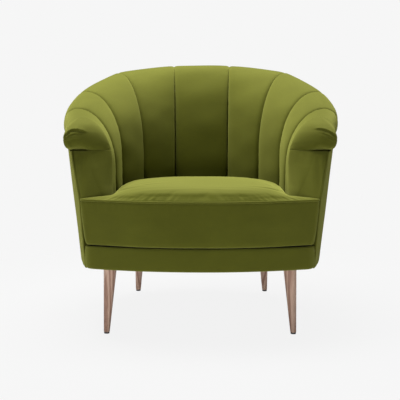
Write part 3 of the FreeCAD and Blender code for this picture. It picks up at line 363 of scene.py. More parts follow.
def inner_turn(start, slope, on_face, face_way, sweep, pull):
    """Soft turn from the panel's front seam to the arm's front, which passes through on_face along face_way."""
    panel_way = unit(np.array([slope, -1.0]))
    reach = np.linalg.solve(np.column_stack([panel_way, -face_way]), on_face - start)[0]
    corner_point = start + panel_way * reach
    begin = corner_point - panel_way * min(sweep, reach)
    end = corner_point + face_way * sweep
    first_pull, last_pull = (point + (corner_point - point) * pull for point in (begin, end))
    wrap = bezier([begin, first_pull, last_pull, end], WRAP_POINTS)
    if reach > sweep + 0.5:
        return np.concatenate([np.linspace(start, begin, LEAD_POINTS + 1)[:-1], wrap])
    # The turn begins at the seam itself: the same number of points without a straight lead
    return np.concatenate([np.linspace(start, wrap[1], LEAD_POINTS + 2)[:-1], wrap[1:]])


inner_seam, inner_slopes = front_seam(ROWS[ROWS <= CREST_ROW])


def arm_facing(name, side):
    """The padded front of an arm below its cap."""
    levels = [np.linspace(PAD_FOOT, SEAT_LEVEL, 12)[:-1], np.linspace(SEAT_LEVEL, FACING_TOP, 40)]
    phase = chance.uniform(*ANY_PHASE)
    rings = []
    for height in np.concatenate(levels):
        front, depth, corner, sweep, pull = (float(np.interp(height, *table)) for table in FACING_TABLES)
        start = np.array([np.interp(height, inner_seam[:, 2], inner_seam[:, 0]), JOINT])
        slope = np.interp(height, inner_seam[:, 2], inner_slopes)
        on_face = np.array([SEAT_POINTS[0][0] + corner, JOINT - depth])
        edge = np.array([side_across(height, front, FACING_INSET), front])
        rear = np.array([side_across(height, JOINT, FACING_INSET), JOINT])
        face_way = unit(edge - on_face)
        ahead = np.array([face_way[1], -face_way[0]])
        turn = inner_turn(start, slope, on_face, face_way, sweep, pull)
        face_end = edge - face_way * EDGE_RADIUS
        middle = (turn[-1] + face_end) / 2 + ahead * FACE_BULGE
        face = three_point_arc(turn[-1], middle, face_end, 40)
        corner_end = edge + unit(rear - edge) * EDGE_RADIUS
        share = np.linspace(0, 1, 7)[1:, None]
        rounding = face_end * (1 - share) ** 2 + edge * 2 * share * (1 - share) + corner_end * share**2
        plan = np.concatenate([turn[:-1], face, rounding])
        across = plan[:, 0]
        run = math.sin(height / 37 + phase)
        fold = sum(size * bump(across, place + sway * run, width) for size, place, sway, width in FACING_FOLDS)
        fold *= 0.35 + 0.65 * smooth_step(height, 400, 450)
        # The pull under the tuck seam
        under = max(FACING_TOP - height, 0)
        fold -= 3.6 * math.exp(-((under / 5.5) ** 1.4)) * smooth_step(across, 310, 332)
        fold += puckers(0.5, under, 24, across, 3.1, 1.3 * np.sin(height / 11))
        fold *= smooth_step(across, 264, 292)
        plan = plan + ahead[None, :] * fold[:, None]
        ring = np.concatenate([plan, np.linspace(rear, start, len(plan))])
        rings.append(raised(ring, height, side))
    return folded_solid(name, rings)


# Pleats of each cap as seen from the front: (x, z) lines, each with its depth
PLEATS = {
    -1: (
        (
            7.5,
            ((404, 563), (396, 572), (388, 581), (378, 592), (368, 597.5), (352, 598), (340, 595), (330, 590)),
        ),
        (3.4, ((404, 556), (394, 566), (384, 576), (374, 584), (362, 588.5), (350, 589), (338, 586))),
        (2.0, ((404, 552), (384, 566), (368, 572), (352, 574), (340, 573))),
    ),
    1: (
        (7.5, ((404, 563), (396, 572), (388, 580), (378, 589), (364, 597), (346, 601), (334, 600))),
        (3.4, ((404, 556), (394, 565), (384, 573), (370, 582), (356, 589), (342, 591))),
        (2.0, ((404, 551), (384, 563), (366, 573), (348, 580))),
    ),
}
# The cap's plan by height: level, end of the inner turn, end of the front, start of the outer side
CAP_TABLE = (
    (537, (316, -242), (378, -260), (386, -246)),
    (542, (324, -246), (379, -265), (388.5, -249)),
    (548, (331, -251), (379, -269), (391, -251)),
    (562, (339, -259), (379, -272), (394.5, -252)),
    (576, (343, -262), (377, -272), (395, -251)),
    (588, (345, -261), (373, -268), (392.5, -247)),
    (600, (346, -254), (368, -258), (388, -238)),
    (612, (346, -241), (363, -243), (380, -226)),
    (624, (351.5, -219), (358, -220), (368.5, -209)),
    (630, (354.3, -203), (355.7, -203.4), (361, -198)),
    (632, (355, -192.5), (355, -192.5), (355, -192)),
)
CAP_MIDDLE = np.array([352.0, -190.0, 560.0])
SEAM_STEPS = 100
# Directions of the front in plan: at its inner end by height, at the facing below, and at its outer end
IN_SLOPES = ((560, 596, 632), (0.7, 0.72, 0.45))
LOW_WAY = unit(np.array([1.0, -0.115]))
OUT_WAY = np.array([1.0, 0.05])


def through(keys, values, wanted):
    """Smooth curve through a table's points."""
    slopes = np.gradient(values, keys)
    spot = np.clip(np.searchsorted(keys, wanted) - 1, 0, len(keys) - 2)
    width = keys[spot + 1] - keys[spot]
    t = (wanted - keys[spot]) / width
    return (
        values[spot] * (2 * t**3 - 3 * t**2 + 1)
        + slopes[spot] * width * (t**3 - 2 * t**2 + t)
        + values[spot + 1] * (3 * t**2 - 2 * t**3)
        + slopes[spot + 1] * width * (t**3 - t**2)
    )


def cap_plan(height, start, finish, slope, face_in, face_out, rear):
    """The cap's plan at a height, from the arm panel's front seam round the front to the seam outside."""
    lead = np.linalg.norm(face_in - start)
    in_way = unit(np.array([1.0, -np.interp(height, *IN_SLOPES)]))
    first_pull = start + unit(np.array([slope, -1.0])) * lead * 0.2
    turn = bezier([start, first_pull, face_in - in_way * lead * 0.36, face_in], LEAD_POINTS + WRAP_POINTS)
    # The lowest slices take the facing's own turn
    high = smooth_step(height, 537.5, 560)
    turn = inner_turn(start, slope, face_in, LOW_WAY, TOP_SWEEP, TOP_PULL) * (1 - high) + turn * high
    in_way = unit(LOW_WAY * (1 - high) + in_way * high)
    face_in = turn[-1]
    span = np.linalg.norm(face_out - face_in)
    face = bezier([face_in, face_in + in_way * span * 0.36, face_out - OUT_WAY * span * 0.3, face_out], 26)
    hook = np.linalg.norm(rear - face_out) * 0.5
    corner = bezier([face_out, face_out + OUT_WAY * hook, rear - unit(finish - rear + 1e-9) * hook, rear], 16)
    return np.concatenate([turn[:-1], face[:-1], corner[:-1], np.linspace(rear, finish, 16)])


def pleat_relief(across, tall, side):
    """Height of the pleats: a rounded lip above each line and a sunk fold below it."""
    relief = np.zeros_like(across)
    for depth, line in PLEATS[side]:
        line = np.array(sorted(line))
        off = tall - np.interp(across, line[:, 0], line[:, 1])
        reach = smooth_step(across, line[0, 0] - 8, line[0, 0] + 16)
        step = smooth_step(off, -1.2, 1.0)
        lip = 0.45 * np.exp(-np.maximum(off, 0) / 9) * step
        sunk = (0.2 + 0.5 * np.exp(np.minimum(off, 0) / 5)) * (1 - step)
        relief += reach * depth * (lip - sunk)
    return relief * (1 - smooth_step(across, 386, 397))


def arm_cap(name, side):
    """The pleated cap on the front end of an arm's roll."""
    crest = RIM_HEIGHTS[0]
    drop = crest - CAP_FLOOR - 0.3
    spots = np.linspace(1, 0, 96)
    keys = np.sqrt((crest - np.array([level for level, *_ in CAP_TABLE])) / drop)[::-1]
    columns = np.array([row[1:] for row in CAP_TABLE], dtype=float)[::-1]
    tables = [
        np.column_stack([through(keys, columns[:, place, axis], spots) for axis in (0, 1)])
        for place in range(columns.shape[1])
    ]
    outline, slopes = front_seam(np.linspace(0, LAST_ROW, LAST_ROW * SEAM_STEPS + 1))
    top = CREST_ROW * SEAM_STEPS
    inner, outer = outline[: top + 1], outline[top:]
    slices = []
    for height, *fronts in zip(crest - drop * spots**2, *tables):
        start = np.array([np.interp(height, inner[:, 2], inner[:, 0]), JOINT])
        finish = np.array([np.interp(-height, -outer[:, 2], outer[:, 0]), JOINT])
        slope = np.interp(height, inner[:, 2], slopes[: top + 1])
        slices.append(raised(cap_plan(height, start, finish, slope, *fronts), height))
    points = np.array(slices)
    way = np.cross(np.gradient(points, axis=0), np.gradient(points, axis=1))
    length = np.linalg.norm(way, axis=-1, keepdims=True)
    way = np.where(length > 1e-6, way / np.maximum(length, 1e-6), UP)
    if np.median((way * (points - CAP_MIDDLE)).sum(-1)) < 0:
        way = -way
    across, tall = points[..., 0], points[..., 2]
    # The seam under the cap draws it in, with fine puckers beside it
    under = np.maximum(tall - CAP_FLOOR, 0)
    tucked = puckers(0.5, under, 16, across, 3.4, 1.2 * np.sin(tall / 9)) - 5.0 * np.exp(-((under / 6) ** 1.4))
    relief = pleat_relief(across, tall, side) + tucked * smooth_step(across, 310, 332)
    points = points + way * (relief * smooth_step(JOINT - points[..., 1], 6, 46))[..., None]
    back = np.linspace(points[:, -1], points[:, 0], points.shape[1] + 2, axis=1)[:, 1:-1]
    rings = np.concatenate([points, back], axis=1)
    rings[..., 0] *= side
    return folded_solid(name, list(rings))


for side, word in ((-1, "left"), (1, "right")):
    velvet_pieces.append((arm_facing(f"velvet_arm_facing_{word}", side), f"arm_facing_{word}", 0.8))
    velvet_pieces.append((arm_cap(f"velvet_arm_cap_{word}", side), f"arm_cap_{word}", 0.8))


# ---------------------------------------------------------------- outside panels and front border
BACK_RADIUS, REAR_CORNER = 700, 235
# The seam between the outside panels: where the arm's part ends and the back's part starts
ARM_END, BACK_START = 199.8, 200.2
PANEL_LEVELS = [HEM, 400, 490, 547, 740]
PANEL_FRONTS = [-317.1, -311, -272, -250, -215]
PANEL_THICKNESS = 3
UNDER_ROLL = 1.5
PROBE_RISE = 497
BOW_RADIUS, BORDER_FRONT, BORDER_CORNER, BORDER_END = 1095, -381.0, 34, -317.5
BORDER_HEIGHT, BORDER_THICKNESS = 66, 10
MIRROR = np.array([-1, 1])


def crossing(first, reach_one, second, reach_two):
    """Where two circles cross, on the left of the way from the first centre to the second."""
    gap = np.linalg.norm(second - first)
    way = (second - first) / gap
    along = (reach_one**2 - reach_two**2 + gap**2) / (2 * gap)
    return first + way * along + np.array([-way[1], way[0]]) * math.sqrt(reach_one**2 - along**2)


def heading(start, end):
    """Direction from one plan point to another, in radians."""
    return math.atan2(end[1] - start[1], end[0] - start[0])


def joined_arcs(arcs, count):
    """Plan line along arcs that follow each other: centre, radius, first and last direction of each."""
    parts = []
    for centre, radius, low, high in arcs:
        angles = np.linspace(low, high, count)
        parts.append(centre + radius * np.stack([np.cos(angles), np.sin(angles)], axis=-1))
    return np.concatenate([parts[0]] + [part[1:] for part in parts[1:]])


def resampled(line, places):
    """Points of a plan line at shares of its length."""
    lengths = run_lengths(line)
    wanted = np.asarray(places) * lengths[-1]
    return np.stack([np.interp(wanted, lengths, line[:, 0]), np.interp(wanted, lengths, line[:, 1])], axis=-1)


def right_half(height, front, inset):
    """Dense plan line from the front end of the right side round to the middle of the back."""
    half_width, widest, back = plan_at(height)
    side, rear = np.array([half_width - SIDE_RADIUS, widest]), np.array([0.0, back - BACK_RADIUS])
    corner = crossing(side, SIDE_RADIUS - REAR_CORNER, rear, BACK_RADIUS - REAR_CORNER)
    start = heading(side, (side_across(height, front, inset), front))
    turn_one, turn_two = heading(side, corner), heading(rear, corner)
    arcs = (
        (side, SIDE_RADIUS - inset, start, turn_one),
        (corner, REAR_CORNER - inset, turn_one, turn_two),
        (rear, BACK_RADIUS - inset, turn_two, math.pi / 2),
    )
    return joined_arcs(arcs, 120)


def top_line():
    """Height of the outside panel's top by its place front to back, under the roll."""
    ends = []
    for station, (x, y) in enumerate(RIM_POINTS):
        turn = math.radians(ROLL_TURNS[station])
        out = TUCK_OUTS[station]
        height = RIM_HEIGHTS[station] - TUCK_DROPS[station] - UNDER_ROLL
        ends.append((x + math.cos(turn) * out, y + math.sin(turn) * out, height))
    line = [(-400.0, ends[0][2])]
    for (x, y, z), (nx, ny, nz), bow in zip(ends, ends[1:], RIM_BOWS):
        line.append((y, z))
        line.append(((y + ny) / 2 - (nx - x) * bow / math.hypot(nx - x, ny - y), (z + nz) / 2))
    line += [ends[-1][1:], (400.0, ends[-1][2])]
    return np.array(line).T


TOP_LINE = top_line()


def outside_line(height, which, inset, places):
    """Plan points of a panel at a height: an arm's side part or the whole back part."""
    half = right_half(height, np.interp(height, PANEL_LEVELS, PANEL_FRONTS), inset)
    seam = ARM_END if which == "arm" else BACK_START
    count = int((half[:, 1] <= seam).sum())
    before, after = half[count - 1], half[count]
    cut = before + (after - before) * ((seam - before[1]) / (after[1] - before[1]))
    if which == "arm":
        return resampled(np.concatenate([half[:count], [cut]]), places)
    right = np.concatenate([[cut], half[count:]])
    return resampled(np.concatenate([right, right[::-1][1:] * MIRROR]), places)


def outside_panel(name, which, side=1):
    """Thin padded panel outside an arm or the back, drawn in at its edges."""
    columns = 64 if which == "arm" else 110
    places = 0.6 * (0.5 - 0.5 * np.cos(np.linspace(0, math.pi, columns))) + 0.4 * np.linspace(0, 1, columns)
    levels = np.concatenate([[0, 0.004, 0.012, 0.025], np.linspace(0.045, 0.95, 34), [0.972, 0.987, 0.995, 1]])
    phases = chance.uniform(*ANY_PHASE, 4)
    rings = []
    for level in levels:
        probe = outside_line(HEM + level * PROBE_RISE, which, 0, places)
        tops = np.interp(probe[:, 1], *TOP_LINE)
        heights = HEM + level * (tops - HEM)
        # The plan changes with the height, so each point is read between five levels
        grid = np.linspace(heights.min(), heights.max() + 1e-6, 5)
        spot = np.clip((heights - grid[0]) / (grid[-1] - grid[0]) * 4, 0, 3.9999)
        low = spot.astype(int)
        share = (spot - low)[:, None]
        index = np.arange(columns)
        outer, inner = (
            plans[low, index] * (1 - share) + plans[low + 1, index] * share
            for plans in (
                np.array([outside_line(height, which, inset, places) for height in grid])
                for inset in (0, PANEL_THICKNESS)
            )
        )
        lengths = run_lengths(outer)
        end_gap = np.minimum(lengths, lengths[-1] - lengths)
        edge_gap = np.minimum(level, 1 - level) * (tops - HEM)
        draw = 1.7 * np.exp(-((end_gap / 3.2) ** 1.5)) + 1.4 * np.exp(-((edge_gap / 3.5) ** 1.5))
        soft = 0.5 * np.sin(lengths / 61 + heights / 83 + phases[0]) * np.sin(heights / 57 + phases[1])
        soft += puckers(0.35, end_gap, 22, heights, 7.3, 1.4 * np.sin(heights / 31) + phases[2])
        soft += puckers(0.35, edge_gap, 20, lengths, 6.9, 1.5 * np.sin(lengths / 27) + phases[3])
        outer = outer + unit(outer - inner) * (0.6 + soft - np.minimum(draw, 2.3))[:, None]
        tall = np.concatenate([heights, heights[::-1]])
        rings.append(raised(np.concatenate([outer, inner[::-1]]), tall, side))
    return folded_solid(name, rings)


for word, side in (("right", 1), ("left", -1)):
    panel = outside_panel(f"velvet_outside_arm_{word}", "arm", side)
    velvet_pieces.append((panel, f"outside_arm_{word}", 0.9))
velvet_pieces.append((outside_panel("velvet_outside_back", "back"), "outside_back", 0.9))


def border_line(inset, count):
    """Plan of the front border from its right end round the bowed front to its left end."""
    bow_centre = np.array([0.0, BOW_RADIUS + BORDER_FRONT])
    side_centre = np.array([HEM_PLAN[0] - SIDE_RADIUS, float(HEM_PLAN[1])])
    corner = crossing(bow_centre, BOW_RADIUS - BORDER_CORNER, side_centre, SIDE_RADIUS - BORDER_CORNER)
    end_turn = math.asin((BORDER_END - HEM_PLAN[1]) / (SIDE_RADIUS - inset))
    turn_side, turn_front = heading(side_centre, corner), heading(bow_centre, corner)
    arcs = (
        (side_centre, SIDE_RADIUS - inset, end_turn, turn_side),
        (corner, BORDER_CORNER - inset, turn_side, turn_front),
        (bow_centre, BOW_RADIUS - inset, turn_front, -math.pi / 2),
    )
    half = joined_arcs(arcs, 90)
    return resampled(np.concatenate([half, half[::-1][1:] * MIRROR]), np.linspace(0, 1, count))


def front_border(name):
    """The padded apron under the cushion."""
    count = 220
    # Height above the hem and inset of each ring: the edges are rounded
    levels = [(0, 6), (0.8, 3.6), (2.2, 1.7), (4, 0.6), (6.5, 0)]
    levels += [(height, 0) for height in np.linspace(10, 58, 12)]
    levels += [(61.5, 0.35), (63.8, 1.2), (65.3, 2.4), (BORDER_HEIGHT, 4)]
    phases = chance.uniform(*ANY_PHASE, 3)
    inner = border_line(BORDER_THICKNESS, count)
    way = unit(border_line(0, count) - inner)
    rings = []
    for height, inset in levels:
        outer = border_line(inset, count)
        lengths = run_lengths(outer)
        crown = 1.4 * math.sin(math.pi * height / BORDER_HEIGHT)
        soft = 0.35 * np.sin(lengths / 48 + phases[0]) * math.sin(height / 21 + 1)
        wander = 1.6 * np.sin(lengths / 33) + phases[1]
        soft += puckers(0.3, BORDER_HEIGHT - height, 9, lengths, 6.1, wander)
        ends = np.exp(-np.minimum(lengths, lengths[-1] - lengths) / 4)
        outer = outer + way * (crown + soft - 1.2 * ends)[:, None]
        rings.append(raised(np.concatenate([outer, inner[::-1]]), HEM + height))
    return folded_solid(name, rings)


velvet_pieces.append((front_border("velvet_front_border"), "front_border", 0.9))


# ---------------------------------------------------------------- seat cushion
# Corners of the right half of the T plan (x, y, radius), from the bowed front round the ear to the back
EAR_ACROSS = 340
CUSHION_CORNERS = [
    (130, -384, 700),
    (EAR_ACROSS, -328, 13),
    (EAR_ACROSS, -313, 4),
    (256, -242.5, 7),
    (253.6, -98, 200),
    (245, -3, 150),
    (182.2, 105.3, 200),
    (84.2, 189.8, 130),
]
MIDDLE_PLACE = -90
OVAL_ACROSS, OVAL_ALONG = 105, 110
EAR_TAPER = 13
PLAN_STEP = 5.0
CUSHION_FLOOR, BOX_HEIGHT = 275, 124.8
TOP_SEAM, PIPING_LEVEL, FIBRE_FLOOR = 405.2, 403.4, 400.6
TOP_INSET = 3.0
FRONT_SWELL = 3.0
COVER_THICKNESS, CORD_RADIUS = 1.6, 3.2
BOX_LEVELS = [0, 0.012, 0.03, 0.055, 0.09, 0.14, *np.linspace(0.2, 0.88, 14), 0.92, 0.95, 0.975, 0.99, 1.0]
# How far the boxing turns in towards its seams, by level
BOX_ROUNDING = (
    (0, 0.012, 0.03, 0.055, 0.09, 0.14, 0.95, 0.975, 0.99, 1),
    (5, 3.3, 1.9, 0.9, 0.25, 0, 0, 0.5, 1.4, 2.9),
)
# Shares of the way from the top's seam to its oval middle, and what each is from the seam
TOP_BLENDS = np.concatenate([[0, 0.004, 0.01, 0.018, 0.028, 0.04, 0.056, 0.076, 0.1], np.linspace(0.125, 1, 34)])
TOP_RUN = 190
# The cloth run fills the crown out again by about what it starts lower
RUN_RISE = 5
CROWN = 24.5 - RUN_RISE
RUN_FRAMES, RUN_CELL, RUN_PRESSURE = 20, 6, 4
BOX_MOVE = 2.5
# The filling reaches its full height this far from the front, the sides and the back
FRONT_EDGE, BACK_EDGE = -384, 190
FRONT_REACH, SIDE_REACH, BACK_REACH = 150, 150, 270
HALF_PLACES = (-384, -350, -98, -3, 60, 105, 150, 190)
HALF_WIDTHS = (263, 263, 257, 245, 212, 182, 132, 84)
# Creases of the seat: plan point, direction, length, width and depth
SEAT_FOLDS = (
    (-205, -235, 0.35, 60, 10, 1.3),
    (-170, -190, 0.75, 70, 13, 1.0),
    (-230, -190, 1.25, 45, 9, 1.0),
    (210, -240, 2.8, 60, 10, 1.1),
    (225, -185, 1.95, 50, 9, 0.8),
    (-90, -290, 0.15, 80, 12, 0.5),
    (60, -285, -0.12, 90, 13, 0.5),
)


def corner_ways(corners, index):
    """A plan corner's point, the directions to its two neighbours and half the angle between them."""
    neighbours = (index, index - 1, (index + 1) % len(corners))
    here, last, following = (np.array(corners[place][:2], dtype=float) for place in neighbours)
    to_last, to_next = unit(last - here), unit(following - here)
    return here, to_last, to_next, math.acos(np.clip(to_last @ to_next, -1, 1)) / 2


def cushion_corners(draw_in=0.0, ear_taper=0.0):
    """Rounded corners (x, y, radius) of the cushion's T plan, drawn in evenly, the ears narrowed."""
    right = [(x - ear_taper if x == EAR_ACROSS else x, y, radius) for x, y, radius in CUSHION_CORNERS]
    corners = right + [(-x, y, radius) for x, y, radius in reversed(right)]
    moved = []
    for index, (_, _, radius) in enumerate(corners):
        here, to_last, to_next, half = corner_ways(corners, index)
        inner = 1 if to_next[0] * to_last[1] - to_next[1] * to_last[0] > 0 else -1
        here = here + unit(to_last + to_next) * (inner * draw_in / math.sin(half))
        moved.append((here[0], here[1], max(radius - inner * draw_in, 0.5)))
    return moved


def corner_arcs(corners):
    """Start, middle, end and length of the arc at each rounded corner."""
    arcs = []
    for index, (_, _, radius) in enumerate(corners):
        here, to_last, to_next, half = corner_ways(corners, index)
        run = radius / math.tan(half)
        middle = here + unit(to_last + to_next) * (radius / math.sin(half) - radius)
        arcs.append((here + to_last * run, middle, here + to_next * run, radius * (math.pi - 2 * half)))
    return arcs


outline_arcs = corner_arcs(cushion_corners())
next_arcs = outline_arcs[1:] + outline_arcs[:1]
outline_runs = [following[0] - arc[2] for arc, following in zip(outline_arcs, next_arcs)]
ARC_COUNTS = [max(7, int(length / PLAN_STEP) + 2) for *_, length in outline_arcs]
LINE_COUNTS = [max(1, int(np.linalg.norm(run) / PLAN_STEP)) for run in outline_runs]


def rounded_plan(corners):
    """Points round a plan with rounded corners, as many on each part as on the cushion's own outline."""
    arcs = corner_arcs(corners)
    points = []
    for index, (start, middle, end, _) in enumerate(arcs):
        points.append(three_point_arc(start, middle, end, ARC_COUNTS[index]))
        following = arcs[(index + 1) % len(arcs)][0]
        points.append(np.linspace(end, following, LINE_COUNTS[index] + 2)[1:-1])
    return np.concatenate(points)


def crown_ring(draw_in, share, ear_taper=0.0):
    """Ring between the cushion's outline (share 0) and an oval at its middle (share 1)."""
    corners = []
    for x, y, radius in cushion_corners(draw_in, ear_taper):
        ahead = y - MIDDLE_PLACE
        reach = math.hypot(x, ahead)
        oval = OVAL_ACROSS * x / reach, OVAL_ALONG * ahead / reach + MIDDLE_PLACE, min(radius * 0.3, 50)
        corners.append([start + (end - start) * share for start, end in zip((x, y, radius), oval)])
    return rounded_plan(corners)


def crown_height(x, y):
    """Height of the cushion's filling above its seam, from the distance to the front, the sides and the back."""
    from_front = np.maximum(y - FRONT_EDGE - np.maximum(np.abs(x) - 130, 0) * 0.256, 0)
    from_side = np.maximum(np.interp(y, HALF_PLACES, HALF_WIDTHS) - np.abs(x), 0)
    from_back = np.maximum(BACK_EDGE - y, 0)
    front, side, back = (
        1 - (1 - np.clip(distance / reach, 0, 1)) ** 2.2
        for distance, reach in ((from_front, FRONT_REACH), (from_side, SIDE_REACH), (from_back, BACK_REACH))
    )
    # The filling is squeezed against the facings, and runs out slowly in front of them
    side = 0.5 * side + 0.5 * grown(from_side, 6 + 0.5 * np.maximum(-235 - y, 0))
    return CROWN * front * side * back


def seat_folds(x, y):
    """Soft creases where the top is drawn towards the arms' front corners, and a few across the front."""
    total = np.zeros_like(x)
    for px, py, turn, length, width, depth in SEAT_FOLDS:
        dx, dy = x - px, y - py
        along = dx * math.cos(turn) + dy * math.sin(turn)
        across = -dx * math.sin(turn) + dy * math.cos(turn)
        ridge = bump(across, 0, width) - 0.6 * bump(across, 1.6 * width, width)
        total += depth * bump(along, 0, length) * ridge
    return total


def top_heights(x, y, run, blend):
    """Heights of the cushion's top at plan points that are a run in from its seam."""
    rise = 1.8 * grown(run, 5) + crown_height(x, y) * grown(run, 3) + seat_folds(x, y) * grown(run, 8)
    return TOP_SEAM + rise + 0.8 * np.sin(x / 62 + 0.6) * np.cos(y / 71) * math.sin(math.pi / 2 * blend)


base_ring = rounded_plan(cushion_corners())
RING_COUNT = len(base_ring)
ring_run = run_lengths(np.concatenate([base_ring, base_ring[:1]]))[:-1]
outline_steps = np.roll(base_ring, -1, axis=0) - np.roll(base_ring, 1, axis=0)
ring_out = unit(np.stack([outline_steps[:, 1], -outline_steps[:, 0]], axis=-1))
front_share = np.clip((-250 - base_ring[:, 1]) / 60, 0, 1)

boxing_rings = []
pucker = waves(ring_run, 7, 9, 30)
for level in BOX_LEVELS:
    plan = rounded_plan(cushion_corners(float(np.interp(level, *BOX_ROUNDING)), EAR_TAPER * (1 - level)))
    swell = front_share * FRONT_SWELL * math.sin(math.pi * min(level / 0.96, 1)) ** 0.8
    below = (1 - level) * BOX_HEIGHT
    top_pull = pucker * 0.8 * math.exp(-below / 11) * grown(below, 2.2)
    soft = 0.6 * np.sin(ring_run / 70 + 1.3) * math.sin(math.pi * level)
    plan = plan + ring_out * (swell + (top_pull + soft) * np.clip(front_share + 0.1, 0, 1))[:, None]
    # The last ring turns up under the piping
    boxing_rings.append(raised(plan, CUSHION_FLOOR + BOX_HEIGHT * level + (1.6 if level == 1.0 else 0)))

top_rings = []
top_pucker = waves(ring_run, 7, 10, 32)
for blend in TOP_BLENDS:
    ring = crown_ring(TOP_INSET, blend)
    run = blend * TOP_RUN
    fold = top_pucker * 0.7 * math.exp(-run / 16) * grown(run, 3)
    top_rings.append(raised(ring, top_heights(ring[:, 0], ring[:, 1], run, blend) + fold))
oval, middle = top_rings[-1][:, :2], np.array([0, MIDDLE_PLACE])
for share in (0.86, 0.7, 0.54, 0.38, 0.22, 0.1):
    ring = middle + (oval - middle) * share
    top_rings.append(raised(ring, top_heights(ring[:, 0], ring[:, 1], TOP_RUN, 1)))

bottom_rings = []
for blend in (0, 0.05, 0.12, 0.25, 0.45, 0.7, 1.0):
    ring = crown_ring(5, blend, EAR_TAPER)
    bottom_rings.append(raised(ring, CUSHION_FLOOR - 3 * min(1, blend / 0.12) ** 0.6))
oval, middle = bottom_rings[-1], np.array([0, MIDDLE_PLACE, CUSHION_FLOOR - 3])
for share in (0.7, 0.4, 0.12):
    bottom_rings.append(middle + (oval - middle) * np.array([share, share, 1]))


def surface(name, rings, closed_end, closed_start=False):
    """Surface through closed rings, with a fan to the middle at the end or the start that is closed."""
    points = np.concatenate(rings)
    faces = ring_faces(len(rings), RING_COUNT)
    for index, closes in ((0, closed_start), (len(rings) - 1, closed_end)):
        if closes:
            first, tip = index * RING_COUNT, len(points)
            points = np.concatenate([points, [[0, MIDDLE_PLACE, rings[index][:, 2].mean()]]])
            fan = [(first + place, first + (place + 1) % RING_COUNT, tip) for place in range(RING_COUNT)]
            faces += fan if index else [(later, sooner, last) for sooner, later, last in fan]
    return mesh_object(name, points, faces)


def settle(piece):
    """Makes what the modifiers give the piece's own mesh."""
    graph = bpy.context.evaluated_depsgraph_get()
    mesh = bpy.data.meshes.new_from_object(piece.evaluated_get(graph))
    piece.modifiers.clear()
    old = piece.data
    piece.data = mesh
    mesh.name = old.name + "_final"
    bpy.data.meshes.remove(old)


def give_thickness(piece, thickness):
    """Makes a surface a closed piece by a second face inside it."""
    shell = piece.modifiers.new("cloth thickness", "SOLIDIFY")
    shell.thickness = thickness * MM
    shell.offset = -1
    shell.use_even_offset = False
    settle(piece)


def face_outward(piece, centre):
    """Turns an open surface so that its faces point away from a point inside."""
    shape = bmesh.new()
    shape.from_mesh(piece.data)
    middle = Vector(centre) * MM
    balance = sum(face.normal.dot(face.calc_center_median() - middle) * face.calc_area() for face in shape.faces)
    if balance < 0:
        bmesh.ops.reverse_faces(shape, faces=shape.faces)
    shape.to_mesh(piece.data)
    shape.free()


def mesh_points(piece):
    return np.array([vertex.co for vertex in piece.data.vertices]) / MM


def cloth_run(rings):
    """Fills a closed copy of the cover with air; gives its starting points and how far each one moves."""
    cover = surface("cushion_cloth_run", rings, True, True)
    remesh = cover.modifiers.new("even mesh", "REMESH")
    remesh.mode = "VOXEL"
    remesh.voxel_size = RUN_CELL * MM
    settle(cover)
    before = mesh_points(cover)
    cloth = cover.modifiers.new("cloth", "CLOTH")
    cloth.settings.use_pressure = True
    cloth.settings.uniform_pressure_force = RUN_PRESSURE
    cloth.settings.effector_weights.gravity = 0
    cloth.point_cache.frame_start = 1
    cloth.point_cache.frame_end = RUN_FRAMES
    for number in range(1, RUN_FRAMES + 1):
        bpy.context.scene.frame_set(number)
    settle(cover)
    after = mesh_points(cover)
    bpy.context.scene.frame_set(1)
    used = cover.data
    bpy.data.objects.remove(cover)
    bpy.data.meshes.remove(used)
    return before, after - before


def carried(rings, shares, cap, places, moves):
    """Moves rings as the nearest points of the cloth run, by a share of it and no farther than the cap."""
    result = []
    for ring, share in zip(rings, shares):
        shifts = np.zeros_like(ring)
        for place, point in enumerate(ring):
            near = places.find_n(point, 10)
            weights = np.array([1 / (distance + 2) for _, _, distance in near])
            shifts[place] = weights @ moves[[index for _, index, _ in near]] / weights.sum()
        length = np.linalg.norm(shifts, axis=-1, keepdims=True) + 1e-9
        shifts = shifts / length * cap * np.tanh(length / cap)
        result.append(ring + shifts * np.reshape(share, (-1, 1)))
    return result


starts, moves = cloth_run(bottom_rings[::-1] + boxing_rings + top_rings)
places = KDTree(len(starts))
for index, point in enumerate(starts):
    places.insert(point, index)
places.balance()
top_shares = [grown(blend * TOP_RUN, 14) for blend in TOP_BLENDS]
top_shares += [1.0] * (len(top_rings) - len(top_shares))
# The boxing is held at both seams and beside the arms
boxing_shares = [front_share * math.sin(math.pi * level) ** 0.5 for level in BOX_LEVELS[:-1]]
boxing_shares.append(0 * front_share)
top_rings = carried(top_rings, top_shares, RUN_RISE, places, moves)
boxing_rings = carried(boxing_rings, boxing_shares, BOX_MOVE, places, moves)

# The fibre layer under the top: it follows the top's underside and closes over the foam
fibre_over = [ring - np.array([0, 0, 1.9]) for ring in top_rings[3:]]
fibre_under = [raised(ring, FIBRE_FLOOR) for ring in top_rings[3:][::-4]]
fibre_layer = surface("fibre_layer", fibre_under + fibre_over, True, True)
cushion_pieces = []
for name, rings, closes, node in (
    ("velvet_cushion_boxing", boxing_rings, False, "cushion_boxing"),
    ("velvet_cushion_top", top_rings, True, "cushion_top_panel"),
    ("velvet_cushion_bottom", bottom_rings, True, "cushion_bottom_panel"),
):
    piece = surface(name, rings, closes)
    face_outward(piece, (0, MIDDLE_PLACE, 340))
    give_thickness(piece, COVER_THICKNESS)
    cushion_pieces.append((piece, node))


# ---------------------------------------------------------------- soft pieces with the CAD's outlines
SOFT_EDGE, SOFT_WAVE = 30, 90


